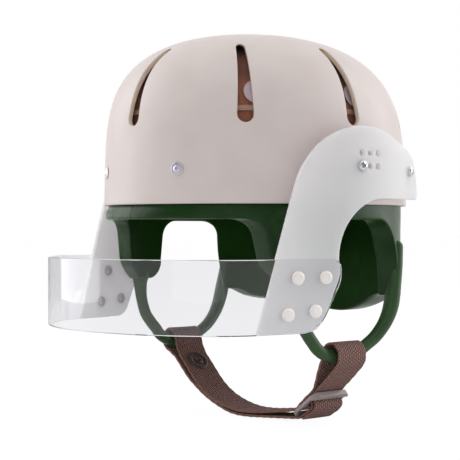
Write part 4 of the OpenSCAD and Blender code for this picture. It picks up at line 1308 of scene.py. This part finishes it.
def webbing_strip(name, route, start_run):
    """One stretch of webbing along a line of (x, z), with its own map for the weave, and its length."""
    points, run = evenly(route)
    tangent = unit(np.gradient(points, run, axis=0))
    section = strap_section()
    size, rows = len(section), len(points)
    wave = 0.12 * np.sin(run * 0.9 + 0.7)[:, None] * (section[:, 0] / (WEB_W / 2)) ** 2
    off = section[:, 1] + wave
    grid = np.zeros((rows, size, 3))
    grid[:, :, 0] = points[:, :1] - tangent[:, 1:] * off
    grid[:, :, 1] = LOOP_Y + section[:, 0]
    grid[:, :, 2] = points[:, 1:] + tangent[:, :1] * off
    start, end = rows * size, rows * size + 1
    faces = flipped(row_faces(rows, size) + [(k, (k + 1) % size, start) for k in range(size)])
    faces += [(start - size + k, start - size + (k + 1) % size, end) for k in range(size)]
    points = np.concatenate([grid.reshape(-1, 3), grid[[0, -1]].mean(axis=1)])
    obj = mesh_object(name, points, faces, brown_webbing, sharp=50)
    across = np.concatenate([np.tile(section[:, 0] + WEB_W / 2, rows), [WEB_W / 2] * 2])
    along = np.concatenate([np.repeat(run, size), run[[0, -1]]]) + start_run
    corner = np.zeros(len(obj.data.loops), int)
    obj.data.loops.foreach_get("vertex_index", corner)
    uvs = (np.stack([across, along], -1)[corner] * MM).astype(np.float32)
    obj.data.uv_layers.new(name="strap").data.foreach_set("uv", uvs.ravel())
    return obj, run[-1]


def make_strap():
    """All stretches of the band, end to end, each on one body, or, where a second body and places (x, z) are
    listed, left fixed where it lies.
    """
    parts = (FOLD, LOWER, RIGHT_TURN, UPPER, LEFT_TURN, TAIL)
    lower, right, upper, left, tail, end = np.cumsum([len(part) for part in parts])
    stretches = [
        ("webbing_fold", 0, lower, "slide_fold", "slide"),
        ("webbing_lower", lower, right, "strap_lower_layer", "chin_strap", "slide", (-30, -145), (46, -143)),
        ("webbing_right_turn", right, upper, "strap_right_turn", "chin_strap"),
        ("webbing_upper_right", upper, upper + 1, "strap_upper_layer", "chin_strap", "snap", (-74.2, -106.8),
         (-69.6, -111.9)),
        ("webbing_upper_snap", upper + 1, upper + 5, "strap_upper_layer", "snap", "chin_strap", (-62, -119),
         (-44, -134)),
        ("webbing_upper_run", upper + 5, left, "strap_upper_layer", "chin_strap", "slide", (-30, -140),
         (46, -138)),
        ("webbing_left_turn", left, tail, "strap_left_turn", "chin_strap", "slide", (84.6, -98),
         (72, -124.5)),
        ("webbing_tail", tail, end, "strap_tail", "slide"),
    ]
    run = 0.0
    for name, first, after, node, body, *bend in stretches:
        strip, length = webbing_strip(name, band_slice(first, after - 1), run)
        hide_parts(node)
        if bend:
            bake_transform(strip)
        else:
            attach(strip, body)
        run += length


def make_slide():
    """The three-bar slide with rounded bars, thicker at the upper bar that the fingers lift."""
    low, high, half_w, thick = -12.7, 14.1, 16.5, 1.1
    window, bar, grip_start, grip_drop = 8.5, 2.8, 9.9, 1.3
    outline = rounded([(low, -half_w, 5), (high, -half_w, 5), (high, half_w, 5), (low, half_w, 5)], 10)
    slide = prism("slide_bars", outline, -thick, thick, slide_plastic)
    for side in (-1, 1):
        middle = side * (window + bar) / 2
        corners = [(middle + window / 2 * a, 14 * b, 1.2) for a, b in ((-1, -1), (1, -1), (1, 1), (-1, 1))]
        cut_away(slide, prism("slide_window", rounded(corners, 5), -5, 5, slide_plastic))
    work = bmesh.new()
    work.from_mesh(slide.data)
    for along in (grip_start - 1, grip_start):
        geometry = work.verts[:] + work.edges[:] + work.faces[:]
        bmesh.ops.bisect_plane(work, geom=geometry, plane_co=(along * MM, 0, 0), plane_no=(1, 0, 0))
    for vertex in work.verts:
        if vertex.co.x > (grip_start - 0.1) * MM and vertex.co.z < 0:
            vertex.co.z -= grip_drop * MM
    work.to_mesh(slide.data)
    work.free()
    edge = slide.modifiers.new("edge", "BEVEL")
    edge.width, edge.segments, edge.limit_method, edge.angle_limit = 0.0008, 4, "ANGLE", math.radians(40)
    apply_modifiers(slide)
    c, s = math.cos(SLIDE_TILT), math.sin(SLIDE_TILT)
    for vertex in slide.data.vertices:
        x, y, z = vertex.co
        vertex.co = (x * c - z * s + SLIDE_X * MM, y + LOOP_Y * MM, x * s + z * c + SLIDE_Z * MM)
    fit_piece(shade(slide, 50), "slide", "slide_frame")


def make_snap():
    """The snap: turned pieces on one axis, as (radius, height over the middle of the upper layer)."""
    face, gap, lean = WEB_T / 2 + 0.15, 4.7, math.radians(43.1)
    centre = np.array([-66.84, LOOP_Y, -114.4])
    shapes = {
        "snap_cap_disc": ("snap_cap", "snap", [
            (1.3, -face), (2.0, -face), (2.0, face), (7.5, face), (7.85, face + 0.15), (7.9, face + 0.45),
            (7.8, face + 0.85), (7.4, face + 1.15), (6.8, face + 1.3), (6.0, face + 1.22), (5.3, face + 0.95),
            (4.7, face + 0.75), (4.0, face + 0.72), (3.5, face + 0.85), (3.1, face + 1.1), (2.6, face + 1.25),
            (2.1, face + 1.22), (1.6, face + 1.0), (1.3, face + 0.6)]),
        "snap_socket_ring": ("snap_socket", "snap", [
            (2.05, -face - 1.9), (4.6, -face - 1.9), (5.0, -face - 1.7), (5.2, -face - 1.2),
            (5.2, -face - 0.2), (5.0, -face), (2.05, -face)]),
        "snap_stud_nub": ("snap_stud", "chin_strap", [
            (0, face - gap), (4.7, face - gap), (5.0, face - gap + 0.25), (4.7, face - gap + 0.7),
            (2.3, face - gap + 0.85), (1.75, face - gap + 1.2), (1.8, face - gap + 1.6), (1.95, -face - 0.7),
            (1.6, -face - 0.3), (0, -face - 0.2)]),
        "snap_post_cap": ("snap_post", "chin_strap", [
            (0, -gap - face - 1.6), (3.0, -gap - face - 1.5), (5.0, -gap - face - 1.1),
            (5.8, -gap - face - 0.6), (6.0, -gap - face - 0.25), (5.7, -gap - face), (1.5, -gap - face),
            (1.5, face - gap), (0, face - gap)]),
    }
    c, s = math.cos(lean), math.sin(lean)
    for name, (node, body, profile) in shapes.items():
        points, faces = turned(profile, 48)
        points = np.array([(x * c + z * s, y, -x * s + z * c) for x, y, z in points]) + centre
        fit_piece(shade(turn_out(mesh_object(name, points, faces, dark_brass)), 40), body, node)


make_shell()
make_liner()
make_ear_loop(1, "ear_loop_tube_left", "ear_loop_left")
make_ear_loop(-1, "ear_loop_tube_right", "ear_loop_right")
make_crown_pad()
make_crown_tape()
make_bracket(1, "milky_bracket_left", "bracket_left")
make_bracket(-1, "milky_bracket_right", "bracket_right")
make_face_bar()
make_shell_rivets()
make_bar_rivets()
make_bracket_screws()
make_crown_discs()
make_strap()
make_slide()
make_snap()

for node, material in (("bracket_spacers", milky_sheet), ("bracket_nuts", screw_steel)):
    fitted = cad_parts[node]
    fitted.data.materials.clear()
    fitted.data.materials.append(material)


# The studio, laid out from the camera, which stands level and round to the wearer's left of the front

CAMERA_TURN = math.radians(49.3)
FORWARD = np.array([-math.sin(CAMERA_TURN), math.cos(CAMERA_TURN), 0])
SIDEWAYS = np.array([math.cos(CAMERA_TURN), math.sin(CAMERA_TURN), 0])
UP = np.array([0, 0, 1])


def seen_rays(tree):
    """One where a ray from the camera arrives, straight or through a clear sheet."""
    path = add(tree, "ShaderNodeLightPath")
    return maths(tree, "MAXIMUM", path.outputs["Is Camera Ray"], path.outputs["Is Transmission Ray"])


def make_floor(size=40.0):
    """A pale floor that looks white, keeps a faint shadow and sends light back up."""
    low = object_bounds()[0][2]
    material, tree, shader = new_material("pale_floor", Roughness=0.9, Base_Color=(0.82, 0.82, 0.83, 1.0))
    shade_share = add(tree, "ShaderNodeBsdfDiffuse", {"Color": (0.08, 0.08, 0.08, 1.0)})
    glow = add(tree, "ShaderNodeEmission", {"Color": (1, 1, 1, 1), "Strength": 0.96})
    white = add(tree, "ShaderNodeAddShader", {0: shade_share.outputs[0], 1: glow.outputs[0]})
    both = add(tree, "ShaderNodeMixShader", {0: seen_rays(tree), 1: shader.outputs[0], 2: white.outputs[0]})
    plug(tree, tree.nodes["Material Output"].inputs["Surface"], both.outputs[0])
    mesh = bpy.data.meshes.new("floor")
    corners = [(x * size, y * size, low) for x, y in ((-1, -1), (1, -1), (1, 1), (-1, 1))]
    mesh.from_pydata(corners, [], [(0, 1, 2, 3)])
    mesh.materials.append(material)
    new_object("floor", mesh)


def make_world():
    """White to the camera; mirrored, it runs from white behind the object to grey on the camera's side."""
    world = bpy.data.worlds.new("studio")
    bpy.context.scene.world = world
    world.use_nodes = True
    tree = world.node_tree
    tree.nodes.clear()
    lit = add(tree, "ShaderNodeBackground", {"Color": (1, 0.99, 0.985, 1), "Strength": 0.45})
    white = add(tree, "ShaderNodeBackground", {"Color": (1, 1, 1, 1), "Strength": 1.0})
    way = add(tree, "ShaderNodeTexCoord").outputs["Generated"]
    back = add(tree, "ShaderNodeVectorMath", {0: way, 1: -FORWARD}, operation="DOT_PRODUCT")
    glow = ramp(tree, back.outputs["Value"], -0.6, 0.3, 1.0, 0.2)
    walls = add(tree, "ShaderNodeBackground", {"Color": (1, 1, 1, 1), "Strength": glow})
    mirrored = add(tree, "ShaderNodeLightPath").outputs["Is Glossy Ray"]
    room = add(tree, "ShaderNodeMixShader", {0: mirrored, 1: lit.outputs[0], 2: walls.outputs[0]})
    both = add(tree, "ShaderNodeMixShader", {0: seen_rays(tree), 1: room.outputs[0], 2: white.outputs[0]})
    plug(tree, add(tree, "ShaderNodeOutputWorld").inputs["Surface"], both.outputs[0])


def soft_lamp(name, place, size, power):
    """A soft box that looks at the middle of the rim."""
    lamp = bpy.data.lights.new(name, "AREA")
    lamp.shape, lamp.size, lamp.size_y = "RECTANGLE", *size
    lamp.energy = power
    obj = new_object(name, lamp)
    obj.location = place
    obj.rotation_euler = (-Vector(place)).to_track_quat("-Z", "Y").to_euler()


def make_camera():
    data = bpy.data.cameras.new("camera")
    data.sensor_width, data.lens = 36.0, 101.74
    data.clip_start, data.clip_end = 0.01, 100.0
    camera = new_object("camera", data)
    camera.location = (0.6823, -0.6114, -0.0166)
    camera.rotation_euler = Vector(FORWARD).to_track_quat("-Z", "Y").to_euler()
    bpy.context.scene.camera = camera


make_floor()
make_world()
soft_lamp("left_box", -1.3 * SIDEWAYS + 0.35 * FORWARD + 0.5 * UP, (1.2, 1.6), 10.5)
soft_lamp("right_box", 1.3 * SIDEWAYS + 0.25 * FORWARD + 0.45 * UP, (1.2, 1.6), 11)
soft_lamp("top_box", -0.3 * FORWARD + 1.5 * UP, (1.6, 1.6), 6.5)
soft_lamp("front_box", -1.4 * FORWARD - 0.3 * SIDEWAYS + 0.5 * UP, (1.4, 1.4), 2.5)
make_camera()
bpy.context.scene.view_settings.view_transform = "Standard"
